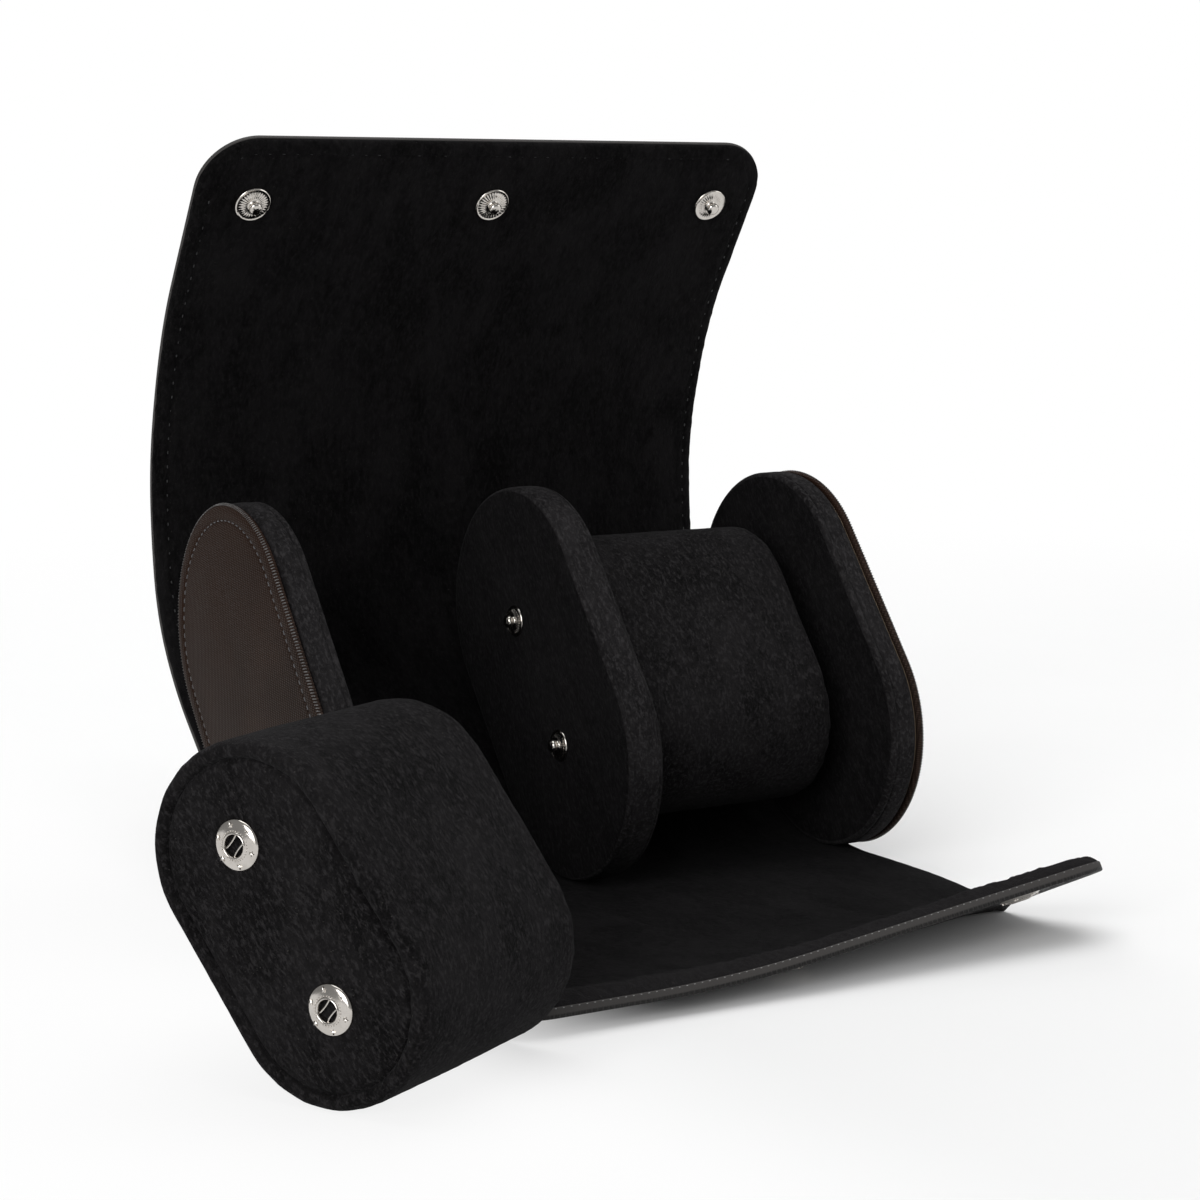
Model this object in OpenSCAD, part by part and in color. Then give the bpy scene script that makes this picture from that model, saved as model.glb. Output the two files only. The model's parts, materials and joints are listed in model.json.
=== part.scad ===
// Travel case: two padded ends and a divider held in a wrap of leather and suede.
// X runs along the case, +Y is the back, +Z is up. The origin lies on the table,
// under the lower round end of the divider, halfway along the case.

/* [Case] */
// Length of the case over its two end panels
case_l = 167.4; // [150:0.2:185]
// Width of the wrap, along the case
wrap_w = 164; // [149:1:184]
// Radius of the round ends of the end panels and the divider
panel_r = 32.3; // [30:0.1:34]
// Straight length between those round ends
panel_s = 41.2; // [36:0.2:44]
// Backward lean of the end panels and the divider, in degrees
lean = 38; // [36:1:40]
// Thickness of an end panel
end_t = 10; // [8:0.2:12]
// Thickness of the divider
divider_t = 10; // [9:0.5:12]
// Thickness of the suede on the panels and cushions
suede_t = 1.2; // [1:0.1:1.4]
// Thickness of the stiff boards in the panels and cushions
board_t = 2; // [2:0.5:3]

/* [Wrap] */
// Thickness of the leather outside
leather_t = 1.3; // [1.2:0.1:1.6]
// Thickness of the padded suede lining
lining_t = 2.3; // [2:0.1:2.6]
// Distance up the panels' backs from their lower round ends to the top flap's root
root_rise = 7.8; // [6:0.2:10]
// Length of the closed top flap past the straight part of the panels' backs
top_len = 158.6; // [154:0.2:161]
// Length of the front flap from the foot of the case
front_len = 105.5; // [102:0.5:108]
// Radius of the flaps' free corners
corner_r = 14.5; // [8:0.5:16]
// Half width of the relief on the outside of each bend
bend_relief = 0.5; // [0.4:0.1:0.8]

/* [Flap poses] */
// Lean of each length of the standing top flap, from its root to its free edge
top_lean = [47.3, 32.2, 8.5, 0, -13.7, -20.9, -33.1];
// Rise of the front flap's last length off the table, in degrees
front_rise = 6.5; // [5.6:0.1:7]
// Lift of the front flap's corner past its slanting bend, in degrees
corner_lift = 21; // [0:1:26]

/* [Press studs] */
// Distance of the top flap's studs from its free edge
stud_inset = 17.5; // [14:0.5:20]
// Spacing of the studs along the top flap
stud_pitch = 67; // [60:1:70]
// Spacing of the two studs across a cushion
pair_pitch = 36.4; // [34:0.2:38]
// Radius of the flange of a top flap stud
flange_r = 4.7; // [4:0.1:5.2]
// Radius of the flange of a divider stud
small_flange_r = 4.1; // [3.8:0.1:4.8]
// Thickness of a stud's flange
flange_t = 0.8; // [0.6:0.1:1]
// Radius of the ball of a stud
ball_r = 1.7; // [1.5:0.1:1.9]
// Outer radius of a socket
socket_r = 5.2; // [4.8:0.1:5.4]
// Height of a socket above the surface it is set in
socket_h = 1.8; // [1.6:0.1:2]
// Radius of the hole in a socket
hole_r = 2.6; // [2.4:0.1:2.8]

/* [Cushions] */
// Length of a cushion between its end faces
cushion_w = 56; // [50:1:57]
// Radius of a cushion's round ends
cushion_r = 23.2; // [22:0.2:24]
// Straight length between a cushion's round ends
cushion_s = 29.8; // [28:0.2:32]
// Lean of the loose cushion, in degrees
loose_lean = 36; // [34:1:40]
// Turn of the loose cushion about the vertical, in degrees
loose_turn = 29; // [27:1:31]
// Place on the table of the loose cushion's socket face, to the left of the case's middle
loose_x = -134.5; // [-140:0.5:-134.5]
// Place on the table of the loose cushion's socket face, in front of the case's foot
loose_y = -116.8; // [-122:0.1:-116.8]

/* [Hidden] */
$fn = 96;
wrap_t = leather_t + lining_t;
half_l = case_l / 2;
panel_z = wrap_t + panel_r;
// The end panels' leather stands past the suede behind it by the turned edge
turned_edge = 0.2;
cover_r = panel_r - turned_edge;
core_r = cover_r - suede_t;
end_leather_t = leather_t + 0.5;
snap_gap = 0.15;
snap_stack = flange_t + snap_gap + socket_h;
// Each bend of the flaps turns by one of these angles between flat and closed
top_bends = 6;
top_bend = 180 / top_bends;
front_bends = 4;
front_bend = (90 + lean) / front_bends;
// The front flap closes just clear of the panels, and the top flap closes over its sockets
front_slack = 0.6;
front_gap = 0.4;
front_first = panel_r * tan(front_bend / 2) + front_slack;
front_pitch = 2 * (panel_r + front_gap) * tan(front_bend / 2);
front_last = front_len - front_first - (front_bends - 1) * front_pitch;
closed_gap = 1.03;
closed_r = panel_r + (closed_gap + wrap_t + snap_stack) / 2;
top_first = closed_r * tan(top_bend / 2);
top_pitch = 2 * top_first;
top_last = top_len - top_first - (top_bends - 1) * top_pitch;
back_len = panel_s - root_rise + top_first;
// The back length closes just clear of the panels
back_gap = 0.1;
// The top flap's studs meet the front flap's sockets this far from the front flap's free edge
stud_reach = top_last - stud_inset - top_first;
socket_inset = front_last - front_pitch / 2 - (panel_s - stud_reach);
// The wrap's foot is flat as far back as this tangent to its round part, in degrees
foot_turn = 20;
arc_step = 4;
hinge_gap = 0.15;
rivet_r = 3.6;
socket_rivet_r = rivet_r + 1;
rivet_t = 0.6;
shank_r = 1.4;
tube_r = 3.3;
// The slanting bend runs from the free edge to the right edge of the front flap
bend_from = [-20, -front_last];
bend_to = [wrap_w / 2, -2];
bend_angle = atan2(bend_to[1] - bend_from[1], bend_to[0] - bend_from[0]);

// Direction in the Y and Z plane of a line that leans back by a degrees
function leaning(a) = [sin(a), cos(a)];
// Outward normal of the case's back at a lean of a degrees
function behind(a) = [cos(a), -sin(a)];
low_c = [0, panel_z];
high_c = low_c + panel_s * leaning(lean);
mid_c = (low_c + high_c) / 2;
back_foot = low_c + panel_r * behind(lean);
// Hinge lines, on the lining's face, where each length of a flap begins
top_root = back_foot + root_rise * leaning(lean);
function top_span(k) = k == 0 ? back_len : k < top_bends ? top_pitch : top_last;
function top_hinge(k) =
    k == 0 ? top_root : top_hinge(k - 1) + top_span(k - 1) * leaning(top_lean[k - 1]);
function front_hinge(k) = [-front_first - k * front_pitch, wrap_t];
function front_turn(k) = k == front_bends - 1 ? front_rise : 0;
// How far the end of a length stands back from its hinge, at a depth below the lining's face
function setback(depth) = hinge_gap + bend_relief * depth / wrap_t;

// Extrudes an outline drawn in the Y and Z plane along X
module along_x(from, to) {
    translate([from, 0, 0]) rotate([90, 0, 90]) linear_extrude(to - from) children();
}

// A stadium of the panels' or a cushion's profile, about the origin and leaning by a
module stadium(r, s, a) {
    rotate(-a) {
        square([2 * r, s], center = true);
        for (side = [-1, 1]) translate([0, side * s / 2]) circle(r);
    }
}

module panel_slab(r, from, to) {
    along_x(from, to) translate(mid_c) stadium(r, panel_s, lean);
}

function root_edge(t) = back_foot + t * behind(lean) + (root_rise - setback(t)) * leaning(lean);

// Points of a line offset by t outside the wrap's inner line, from the foot to the top flap's root
function back_line(t) = let (r = (panel_r + t) / cos(arc_step / 2)) concat(
    [[-front_first, low_c[1] - panel_r - t]],
    [[0, low_c[1] - panel_r - t]],
    [for (a = [arc_step / 2 : arc_step : 90 - lean - arc_step / 2])
        low_c + r * [sin(a), -cos(a)]],
    [low_c + (panel_r + t) * behind(lean)],
    [root_edge(t)]
);

// The outside of the leather, with the foot's flat and the tangent behind it
function sole_line(t) = let (r = panel_r + t, r_arc = r / cos(arc_step / 2)) concat(
    [[-front_first, low_c[1] - r]],
    [[r * tan(foot_turn / 2), low_c[1] - r]],
    [for (a = [foot_turn + arc_step / 2 : arc_step : 90 - lean - arc_step / 2])
        low_c + r_arc * [sin(a), -cos(a)]],
    [low_c + r * behind(lean)],
    [root_edge(t)]
);

function reversed(list) = [for (i = [len(list) - 1 : -1 : 0]) list[i]];

module wrap_base_lining() {
    color("#19181a") along_x(-wrap_w / 2, wrap_w / 2)
        polygon(concat(back_line(0), reversed(back_line(lining_t))));
}

module wrap_base_leather() {
    color("#1d1c1d") along_x(-wrap_w / 2, wrap_w / 2)
        polygon(concat(back_line(lining_t), reversed(sole_line(wrap_t))));
}

// Section of one layer of a flap's length, from its hinge at the origin towards +Y, with the
// lining's face at the top, between the depths d0 and d1. Its ends slope back from the hinges.
module flap_section(length, d0, d1, end_bend) {
    polygon([
        [setback(d0), -d0],
        [length - (end_bend ? setback(d0) : 0), -d0],
        [length - (end_bend ? setback(d1) : 0), -d1],
        [setback(d1), -d1]
    ]);
}

// Outline from above of a flap's last length, with its two round free corners
module free_outline(length) {
    translate([-wrap_w / 2, -1]) square([wrap_w, length + 1 - corner_r]);
    translate([-wrap_w / 2 + corner_r, 0]) square([wrap_w - 2 * corner_r, length]);
    for (side = [-1, 1])
        translate([side * (wrap_w / 2 - corner_r), length - corner_r]) circle(corner_r);
}

module flap_length(length, d0, d1, end_bend) {
    along_x(-wrap_w / 2, wrap_w / 2) flap_section(length, d0, d1, end_bend);
}

module last_length(length, d0, d1) {
    intersection() {
        flap_length(length, d0, d1, false);
        translate([0, 0, -wrap_t - 1]) linear_extrude(wrap_t + 2) free_outline(length);
    }
}

module at_top(k) {
    translate([0, top_hinge(k)[0], top_hinge(k)[1]]) rotate([90 - top_lean[k], 0, 0]) children();
}

module at_front(k) {
    translate([0, front_hinge(k)[0], front_hinge(k)[1]]) rotate([-front_turn(k), 0, 0])
        mirror([0, 1, 0]) children();
}

module at_studs() {
    for (i = [-1 : 1]) translate([i * stud_pitch, top_last - stud_inset, 0]) children();
}

module at_socket(i) {
    translate([i * stud_pitch, front_last - socket_inset, 0]) children();
}

// A stud stands on the plane z = 0. Its shank passes through a layer of the given depth to a rivet.
module stud(flange, depth) {
    rotate_extrude() polygon([
        [0, -depth - rivet_t], [rivet_r, -depth - rivet_t], [rivet_r, -depth], [shank_r, -depth],
        [shank_r, 0], [flange, 0], [flange, flange_t * 0.4], [flange - 0.5, flange_t],
        [1.2, flange_t], [1.2, flange_t + 0.7], [ball_r, flange_t + 1.1], [ball_r, flange_t + 1.7],
        [ball_r - 0.6, flange_t + 2.2], [0, flange_t + 2.3]
    ]);
}

module stud_hole(depth) {
    translate([0, 0, -depth - 1]) cylinder(r = shank_r, h = depth + 2);
}

module rivet_pocket(r, depth) {
    translate([0, 0, -depth - rivet_t]) cylinder(r = r, h = rivet_t + 0.01);
}

// A socket stands on the plane z = 0. Its tube passes through a layer of the given depth.
module socket(depth) {
    rotate_extrude() polygon([
        [hole_r, -depth - rivet_t], [socket_rivet_r, -depth - rivet_t], [socket_rivet_r, -depth],
        [tube_r, -depth], [tube_r, 0], [socket_r, 0], [socket_r, socket_h * 0.35],
        [socket_r - 0.5, socket_h * 0.8], [socket_r - 1.3, socket_h], [hole_r + 0.5, socket_h],
        [hole_r, socket_h - 0.4]
    ]);
}

module tube_hole(depth) {
    translate([0, 0, -depth - 1]) cylinder(r = tube_r, h = depth + 2);
}

module top_leather(k) {
    color("#1d1c1d") at_top(k) {
        if (k < top_bends) flap_length(top_span(k), lining_t, wrap_t, true);
        else difference() {
            last_length(top_last, lining_t, wrap_t);
            at_studs() rivet_pocket(rivet_r, lining_t);
        }
    }
}

module top_lining(k) {
    color("#19181a") at_top(k) {
        if (k < top_bends) flap_length(top_span(k), k == 0 ? back_gap : 0, lining_t, true);
        else difference() {
            last_length(top_last, 0, lining_t);
            at_studs() stud_hole(lining_t);
        }
    }
}

module top_studs() {
    color("silver") at_top(top_bends) at_studs() stud(flange_r, lining_t);
}

// A block that holds all of the front flap's last length further than gap past the slanting bend
module past_bend(gap) {
    translate([bend_from[0], bend_from[1], 0]) rotate(bend_angle)
        translate([-wrap_w, -wrap_w - gap, -front_len]) cube([3 * wrap_w, wrap_w, 2 * front_len]);
}

module last_front(d0, d1) {
    mirror([0, 1, 0]) last_length(front_last, d0, d1);
}

// Turns the corner up about the slanting bend, which lies on the lining's face
module lifted() {
    translate([bend_from[0], bend_from[1], 0]) rotate(bend_angle) rotate([-corner_lift, 0, 0])
        rotate(-bend_angle) translate([-bend_from[0], -bend_from[1], 0]) children();
}

module front_leather(k) {
    color("#1d1c1d") at_front(k) {
        if (k < front_bends - 1) flap_length(front_pitch, lining_t, wrap_t, true);
        else difference() {
            last_length(front_last, lining_t, wrap_t);
            mirror([0, 1, 0]) past_bend(-hinge_gap);
            for (i = [-1, 0]) at_socket(i) translate([0, 0, -lining_t]) tube_hole(leather_t);
        }
    }
}

module front_lining(k) {
    color("#19181a") at_front(k) {
        if (k < front_bends - 1) flap_length(front_pitch, 0, lining_t, true);
        else difference() {
            last_length(front_last, 0, lining_t);
            mirror([0, 1, 0]) past_bend(-hinge_gap);
            for (i = [-1, 0]) at_socket(i) lining_pocket();
        }
    }
}

// The rivet of a socket sits in the lining, against the leather
module lining_pocket() {
    translate([0, 0, -lining_t - 0.01]) cylinder(r = socket_rivet_r, h = rivet_t + 0.01);
}

module at_corner() {
    at_front(front_bends - 1) mirror([0, 1, 0]) lifted() children();
}

module corner_leather() {
    color("#1d1c1d") at_corner() difference() {
        intersection() {
            last_front(lining_t, wrap_t);
            past_bend(hinge_gap);
        }
        mirror([0, 1, 0]) at_socket(1) translate([0, 0, -lining_t]) tube_hole(leather_t);
    }
}

module corner_lining() {
    color("#19181a") at_corner() difference() {
        intersection() {
            last_front(0, lining_t);
            past_bend(hinge_gap);
        }
        mirror([0, 1, 0]) at_socket(1) lining_pocket();
    }
}

module front_sockets() {
    color("silver") at_front(front_bends - 1)
        for (i = [-1, 0]) at_socket(i) translate([0, 0, -wrap_t]) mirror([0, 0, 1]) socket(leather_t);
}

module corner_socket() {
    color("silver") at_corner() mirror([0, 1, 0])
        at_socket(1) translate([0, 0, -wrap_t]) mirror([0, 0, 1]) socket(leather_t);
}

// The layers of an end panel, from its leather outside at x = 0 to its suede inner face
module end_leather() {
    panel_slab(panel_r, 0, end_leather_t);
}

module end_board() {
    panel_slab(core_r, end_leather_t, end_leather_t + board_t);
}

module end_pad() {
    panel_slab(core_r, end_leather_t + board_t, end_t - suede_t);
}

module end_suede() {
    difference() {
        panel_slab(cover_r, end_leather_t, end_t);
        panel_slab(core_r, leather_t, end_t - suede_t);
    }
}

module at_left() {
    translate([-half_l, 0, 0]) children();
}

module at_right() {
    translate([half_l, 0, 0]) mirror([1, 0, 0]) children();
}

// A point on the line of the two studs across the divider or a cushion, facing +X
module at_pair() {
    for (side = [-1, 1])
        translate([0, side * pair_pitch / 2 * sin(lean), side * pair_pitch / 2 * cos(lean)])
            rotate([0, 90, 0]) children();
}

module at_divider_studs(face) {
    translate([face * divider_t / 2, mid_c[0], mid_c[1]]) mirror([face < 0 ? 1 : 0, 0, 0])
        at_pair() children();
}

stud_depth = divider_t / 2 - board_t / 2;

module divider_board() {
    color("#6b5a45") difference() {
        panel_slab(core_r, -board_t / 2, board_t / 2);
        for (face = [-1, 1]) at_divider_studs(face) rivet_pocket(rivet_r, stud_depth);
    }
}

module divider_pad(face) {
    color("#d8d4c8") mirror([face < 0 ? 1 : 0, 0, 0]) difference() {
        panel_slab(core_r, board_t / 2, divider_t / 2 - suede_t);
        at_divider_studs(1) stud_hole(stud_depth);
    }
}

module divider_face(face) {
    color("#19181a") mirror([face < 0 ? 1 : 0, 0, 0]) difference() {
        panel_slab(cover_r, divider_t / 2 - suede_t, divider_t / 2);
        at_divider_studs(1) stud_hole(stud_depth);
    }
}

module divider_rim() {
    color("#19181a") difference() {
        panel_slab(cover_r, -divider_t / 2 + suede_t, divider_t / 2 - suede_t);
        panel_slab(core_r, -divider_t / 2, divider_t / 2);
    }
}

module divider_studs(face) {
    color("silver") at_divider_studs(face) stud(small_flange_r, stud_depth);
}

// A cushion lies along +X from its socket face at x = 0, and leans as the panels do
cushion_core = cushion_r - suede_t;
socket_depth = suede_t + board_t;

module cushion_slab(r, from, to, a) {
    along_x(from, to) stadium(r, cushion_s, a);
}

module at_cushion_sockets(a) {
    for (side = [-1, 1])
        translate([0, side * pair_pitch / 2 * sin(a), side * pair_pitch / 2 * cos(a)])
            rotate([0, -90, 0]) children();
}

module cushion_foam(a) {
    color("#d8d4c8") difference() {
        cushion_slab(cushion_core, socket_depth, cushion_w - suede_t, a);
        at_cushion_sockets(a) rivet_pocket(socket_rivet_r, socket_depth);
    }
}

module cushion_sleeve(a) {
    color("#19181a") difference() {
        cushion_slab(cushion_r, suede_t, cushion_w - suede_t, a);
        cushion_slab(cushion_core, 0, cushion_w, a);
    }
}

module cushion_socket_face(a) {
    color("#19181a") difference() {
        cushion_slab(cushion_r, 0, suede_t, a);
        at_cushion_sockets(a) tube_hole(suede_t);
    }
}

module cushion_plain_face(a) {
    color("#19181a") cushion_slab(cushion_r, cushion_w - suede_t, cushion_w, a);
}

module cushion_board(a) {
    color("#6b5a45") difference() {
        cushion_slab(cushion_core, suede_t, socket_depth, a);
        at_cushion_sockets(a) tube_hole(socket_depth);
    }
}

module cushion_sockets(a) {
    color("silver") at_cushion_sockets(a) socket(socket_depth);
}

// In the right bay, pressed on the divider's studs
module seated() {
    translate([divider_t / 2 + snap_stack, mid_c[0], mid_c[1]]) children();
}

// On the table in front of the left end, with its socket face to the viewer
module loose() {
    translate([loose_x, loose_y, cushion_r + cushion_s / 2 * cos(loose_lean)])
        rotate(loose_turn) children();
}

wrap_base_leather();
wrap_base_lining();
top_leather(0);  // top_leather_1
top_leather(1);  // top_leather_2
top_leather(2);  // top_leather_3
top_leather(3);  // top_leather_4
top_leather(4);  // top_leather_5
top_leather(5);  // top_leather_6
top_leather(6);  // top_leather_7
top_lining(0);  // top_lining_1
top_lining(1);  // top_lining_2
top_lining(2);  // top_lining_3
top_lining(3);  // top_lining_4
top_lining(4);  // top_lining_5
top_lining(5);  // top_lining_6
top_lining(6);  // top_lining_7
front_leather(0);  // front_leather_1
front_leather(1);  // front_leather_2
front_leather(2);  // front_leather_3
front_leather(3);  // front_leather_4
front_lining(0);  // front_lining_1
front_lining(1);  // front_lining_2
front_lining(2);  // front_lining_3
front_lining(3);  // front_lining_4
corner_leather();
corner_lining();
top_studs();
front_sockets();
corner_socket();
color("#1d1c1d") at_left() end_leather();  // left_end_leather
color("#6b5a45") at_left() end_board();  // left_end_board
color("#d8d4c8") at_left() end_pad();  // left_end_pad
color("#19181a") at_left() end_suede();  // left_end_suede
color("#1d1c1d") at_right() end_leather();  // right_end_leather
color("#6b5a45") at_right() end_board();  // right_end_board
color("#d8d4c8") at_right() end_pad();  // right_end_pad
color("#19181a") at_right() end_suede();  // right_end_suede
divider_board();
divider_pad(-1);  // divider_left_pad
divider_pad(1);  // divider_right_pad
divider_face(-1);  // divider_left_face
divider_face(1);  // divider_right_face
divider_rim();
divider_studs(-1);  // divider_left_studs
divider_studs(1);  // divider_right_studs
seated() cushion_foam(lean);  // seated_foam
seated() cushion_sleeve(lean);  // seated_sleeve
seated() cushion_socket_face(lean);  // seated_socket_face
seated() cushion_plain_face(lean);  // seated_plain_face
seated() cushion_board(lean);  // seated_board
seated() cushion_sockets(lean);  // seated_sockets
loose() cushion_foam(loose_lean);  // loose_foam
loose() cushion_sleeve(loose_lean);  // loose_sleeve
loose() cushion_socket_face(loose_lean);  // loose_socket_face
loose() cushion_plain_face(loose_lean);  // loose_plain_face
loose() cushion_board(loose_lean);  // loose_board
loose() cushion_sockets(loose_lean);  // loose_sockets
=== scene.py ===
import json
import math

import bpy
import numpy as np
from mathutils.kdtree import KDTree
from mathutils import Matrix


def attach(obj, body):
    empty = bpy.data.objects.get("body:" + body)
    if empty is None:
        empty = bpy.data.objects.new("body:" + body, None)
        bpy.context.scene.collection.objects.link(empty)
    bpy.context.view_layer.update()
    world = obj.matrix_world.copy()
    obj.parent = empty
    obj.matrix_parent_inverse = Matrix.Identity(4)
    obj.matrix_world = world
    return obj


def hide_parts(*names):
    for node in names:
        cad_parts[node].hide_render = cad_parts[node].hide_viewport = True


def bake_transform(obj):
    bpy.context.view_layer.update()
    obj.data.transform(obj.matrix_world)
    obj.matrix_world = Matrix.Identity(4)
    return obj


bl_info = {
    "name": "Two-place travel case",
    "version": (1, 0, 0),
    "blender": (4, 5, 0),
    "location": "View3D > Sidebar > Travel Case",
    "description": "Leather and suede roll case with two padded ends, a divider and two cushions",
    "category": "Object",
}

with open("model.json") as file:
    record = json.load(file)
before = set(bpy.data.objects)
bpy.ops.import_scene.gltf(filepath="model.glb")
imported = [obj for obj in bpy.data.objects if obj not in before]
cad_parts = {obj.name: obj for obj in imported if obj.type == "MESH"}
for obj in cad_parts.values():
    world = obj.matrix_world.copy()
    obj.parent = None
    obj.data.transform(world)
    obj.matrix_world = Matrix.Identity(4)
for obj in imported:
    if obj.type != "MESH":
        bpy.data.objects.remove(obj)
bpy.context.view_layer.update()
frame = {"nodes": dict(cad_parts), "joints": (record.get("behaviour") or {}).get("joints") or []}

MM = 0.001
JOINTS = {joint["name"]: joint for joint in frame["joints"]}

# Sizes of the solids, in millimetres and degrees
CASE_L = 167.4
WRAP_W = 164.0
PANEL_R = 32.3
PANEL_S = 41.2
LEAN = 38.0
DIVIDER_T = 10.0
LEATHER_T = 1.3
LINING_T = 2.3
WRAP_T = LEATHER_T + LINING_T
CORNER_R = 14.5
STITCH_INSET = 3.5
TOP_COUNT = 7
TOP_BEND_REACH = 9.643
TOP_LAST = 52.521
TOP_LAST_LEAN = -33.1
FRONT_LAST = 39.379
FRONT_RISE = 6.5
STUD_INSET = 17.5
STUD_PITCH = 67.0
SOCKET_INSET = 14.18
PAIR_PITCH = 36.4
CUSHION_W = 56.0
CUSHION_R = 23.2
CUSHION_S = 29.8
SEATED_X = DIVIDER_T / 2 + 2.75
LOOSE_LEAN = 36.0
LOOSE_TURN = 29.0
LOOSE_AT = (-134.5, -116.8)


def unit(vector):
    return vector / np.linalg.norm(vector)


def lengths_along(points):
    """The length of a line of points up to each of them."""
    return np.concatenate([[0], np.cumsum(np.linalg.norm(np.diff(points, axis=0), axis=1))])


def sind(a):
    return math.sin(math.radians(a))


def cosd(a):
    return math.cos(math.radians(a))


LOW = np.array([0.0, WRAP_T + PANEL_R])
LEANING = np.array([sind(LEAN), cosd(LEAN)])
HIGH = LOW + PANEL_S * LEANING
MID = (LOW + HIGH) / 2


# ---------------------------------------------------------------- helpers for the meshes

def lattice(seed):
    return np.random.RandomState(seed).rand(32, 32, 32)


LATTICES = [lattice(seed) for seed in (3, 11, 29, 47)]


def grain(points, size, kind=0):
    """Smooth noise from -1 to 1 at points, in mm, with features of about size mm."""
    table = LATTICES[kind % len(LATTICES)]
    at = np.asarray(points, float) / size + 7.3 * kind
    low = np.floor(at).astype(int)
    part = at - low
    part = part * part * (3 - 2 * part)
    total = 0.0
    for corner in range(8):
        step = np.array([corner & 1, corner >> 1 & 1, corner >> 2 & 1])
        index = (low + step) % 32
        weight = np.where(step, part, 1 - part).prod(-1)
        total = total + weight * table[index[..., 0], index[..., 1], index[..., 2]]
    return 2 * total - 1


class Maker:
    """Gathers vertices, faces and their finishes for one mesh."""

    def __init__(self):
        self.verts, self.lay, self.faces, self.slots = [], [], [], []

    def add(self, verts, faces, lay=None, slot=0):
        """Adds a part, and gives the number of its first vertex."""
        start = len(self.verts)
        verts = np.asarray(verts, float).reshape(-1, 3)
        lay = verts if lay is None else np.asarray(lay, float).reshape(-1, 3)
        self.verts.extend(verts.tolist())
        self.lay.extend(lay.tolist())
        self.faces.extend([tuple(int(i) + start for i in f) for f in faces])
        self.slots.extend([slot] * len(faces) if isinstance(slot, int) else slot)
        return start

    def finish(self, name, materials, sharp_angle=None):
        """Makes the mesh and its object, in metres."""
        mesh = bpy.data.meshes.new(name)
        mesh.from_pydata([tuple(c * MM for c in v) for v in self.verts], [], self.faces)
        mesh.polygons.foreach_set("use_smooth", [True] * len(self.faces))
        mesh.polygons.foreach_set("material_index", self.slots)
        layer = mesh.attributes.new("lay", "FLOAT_VECTOR", "POINT")
        layer.data.foreach_set("vector", np.array(self.lay, np.float32).ravel())
        for material in materials:
            mesh.materials.append(material)
        mesh.validate()
        if sharp_angle:
            mesh.set_sharp_from_angle(angle=math.radians(sharp_angle))
        mesh.update()
        obj = bpy.data.objects.new(name, mesh)
        bpy.context.collection.objects.link(obj)
        return obj


def grid_faces(rows, cols, closed=False, flip=False):
    """Quads over a grid of vertices, joined round its columns when it is closed."""
    faces = []
    wide = cols if closed else cols - 1
    for r in range(rows - 1):
        for c in range(wide):
            d = (c + 1) % cols
            quad = (r * cols + c, r * cols + d, (r + 1) * cols + d, (r + 1) * cols + c)
            faces.append(quad[::-1] if flip else quad)
    return faces


# ---------------------------------------------------------------- the wrap's line

def hinge_of(name):
    """A joint's place (y, z), in millimetres."""
    pos = JOINTS[name]["pos_m"]
    return np.array([pos[1], pos[2]]) / MM


TOP_JOINTS = ["top_root", "top_flap"] + [f"top_bend_{k}" for k in range(3, 8)]
FRONT_JOINTS = ["front_flap"] + [f"front_bend_{k}" for k in range(2, 5)]
TOP_HINGES = [hinge_of(name) for name in TOP_JOINTS]
FRONT_HINGES = [hinge_of(name) for name in FRONT_JOINTS]
ROOT_REACH = 6.0
BACK_END = TOP_HINGES[0] - ROOT_REACH * LEANING
TOP_DIR = np.array([sind(TOP_LAST_LEAN), cosd(TOP_LAST_LEAN)])
TOP_END = TOP_HINGES[-1] + TOP_LAST * TOP_DIR
FRONT_DIR = np.array([-cosd(FRONT_RISE), sind(FRONT_RISE)])
FRONT_END = FRONT_HINGES[3] + FRONT_LAST * FRONT_DIR
TIP_HALF = 5.0


def bezier(a, b, c, n=24):
    """Points along the round bend from a to c with its corner at b."""
    t = np.linspace(0, 1, n)[:, None]
    return (1 - t) ** 2 * a + 2 * t * (1 - t) * b + t ** 2 * c


def straight(a, b, step=1.0):
    n = max(2, int(np.linalg.norm(b - a) / step) + 1)
    return a + (b - a) * np.linspace(0, 1, n)[:, None]


def top_bend_ends(k):
    """Where the top flap's bend at its hinge k starts and ends."""
    reach = TOP_BEND_REACH if k else ROOT_REACH
    back = LEANING if k == 0 else TOP_HINGES[k] - TOP_HINGES[k - 1]
    ahead = TOP_DIR if k == TOP_COUNT - 1 else TOP_HINGES[k + 1] - TOP_HINGES[k]
    return TOP_HINGES[k] - reach * unit(back), TOP_HINGES[k] + reach * unit(ahead)


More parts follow.
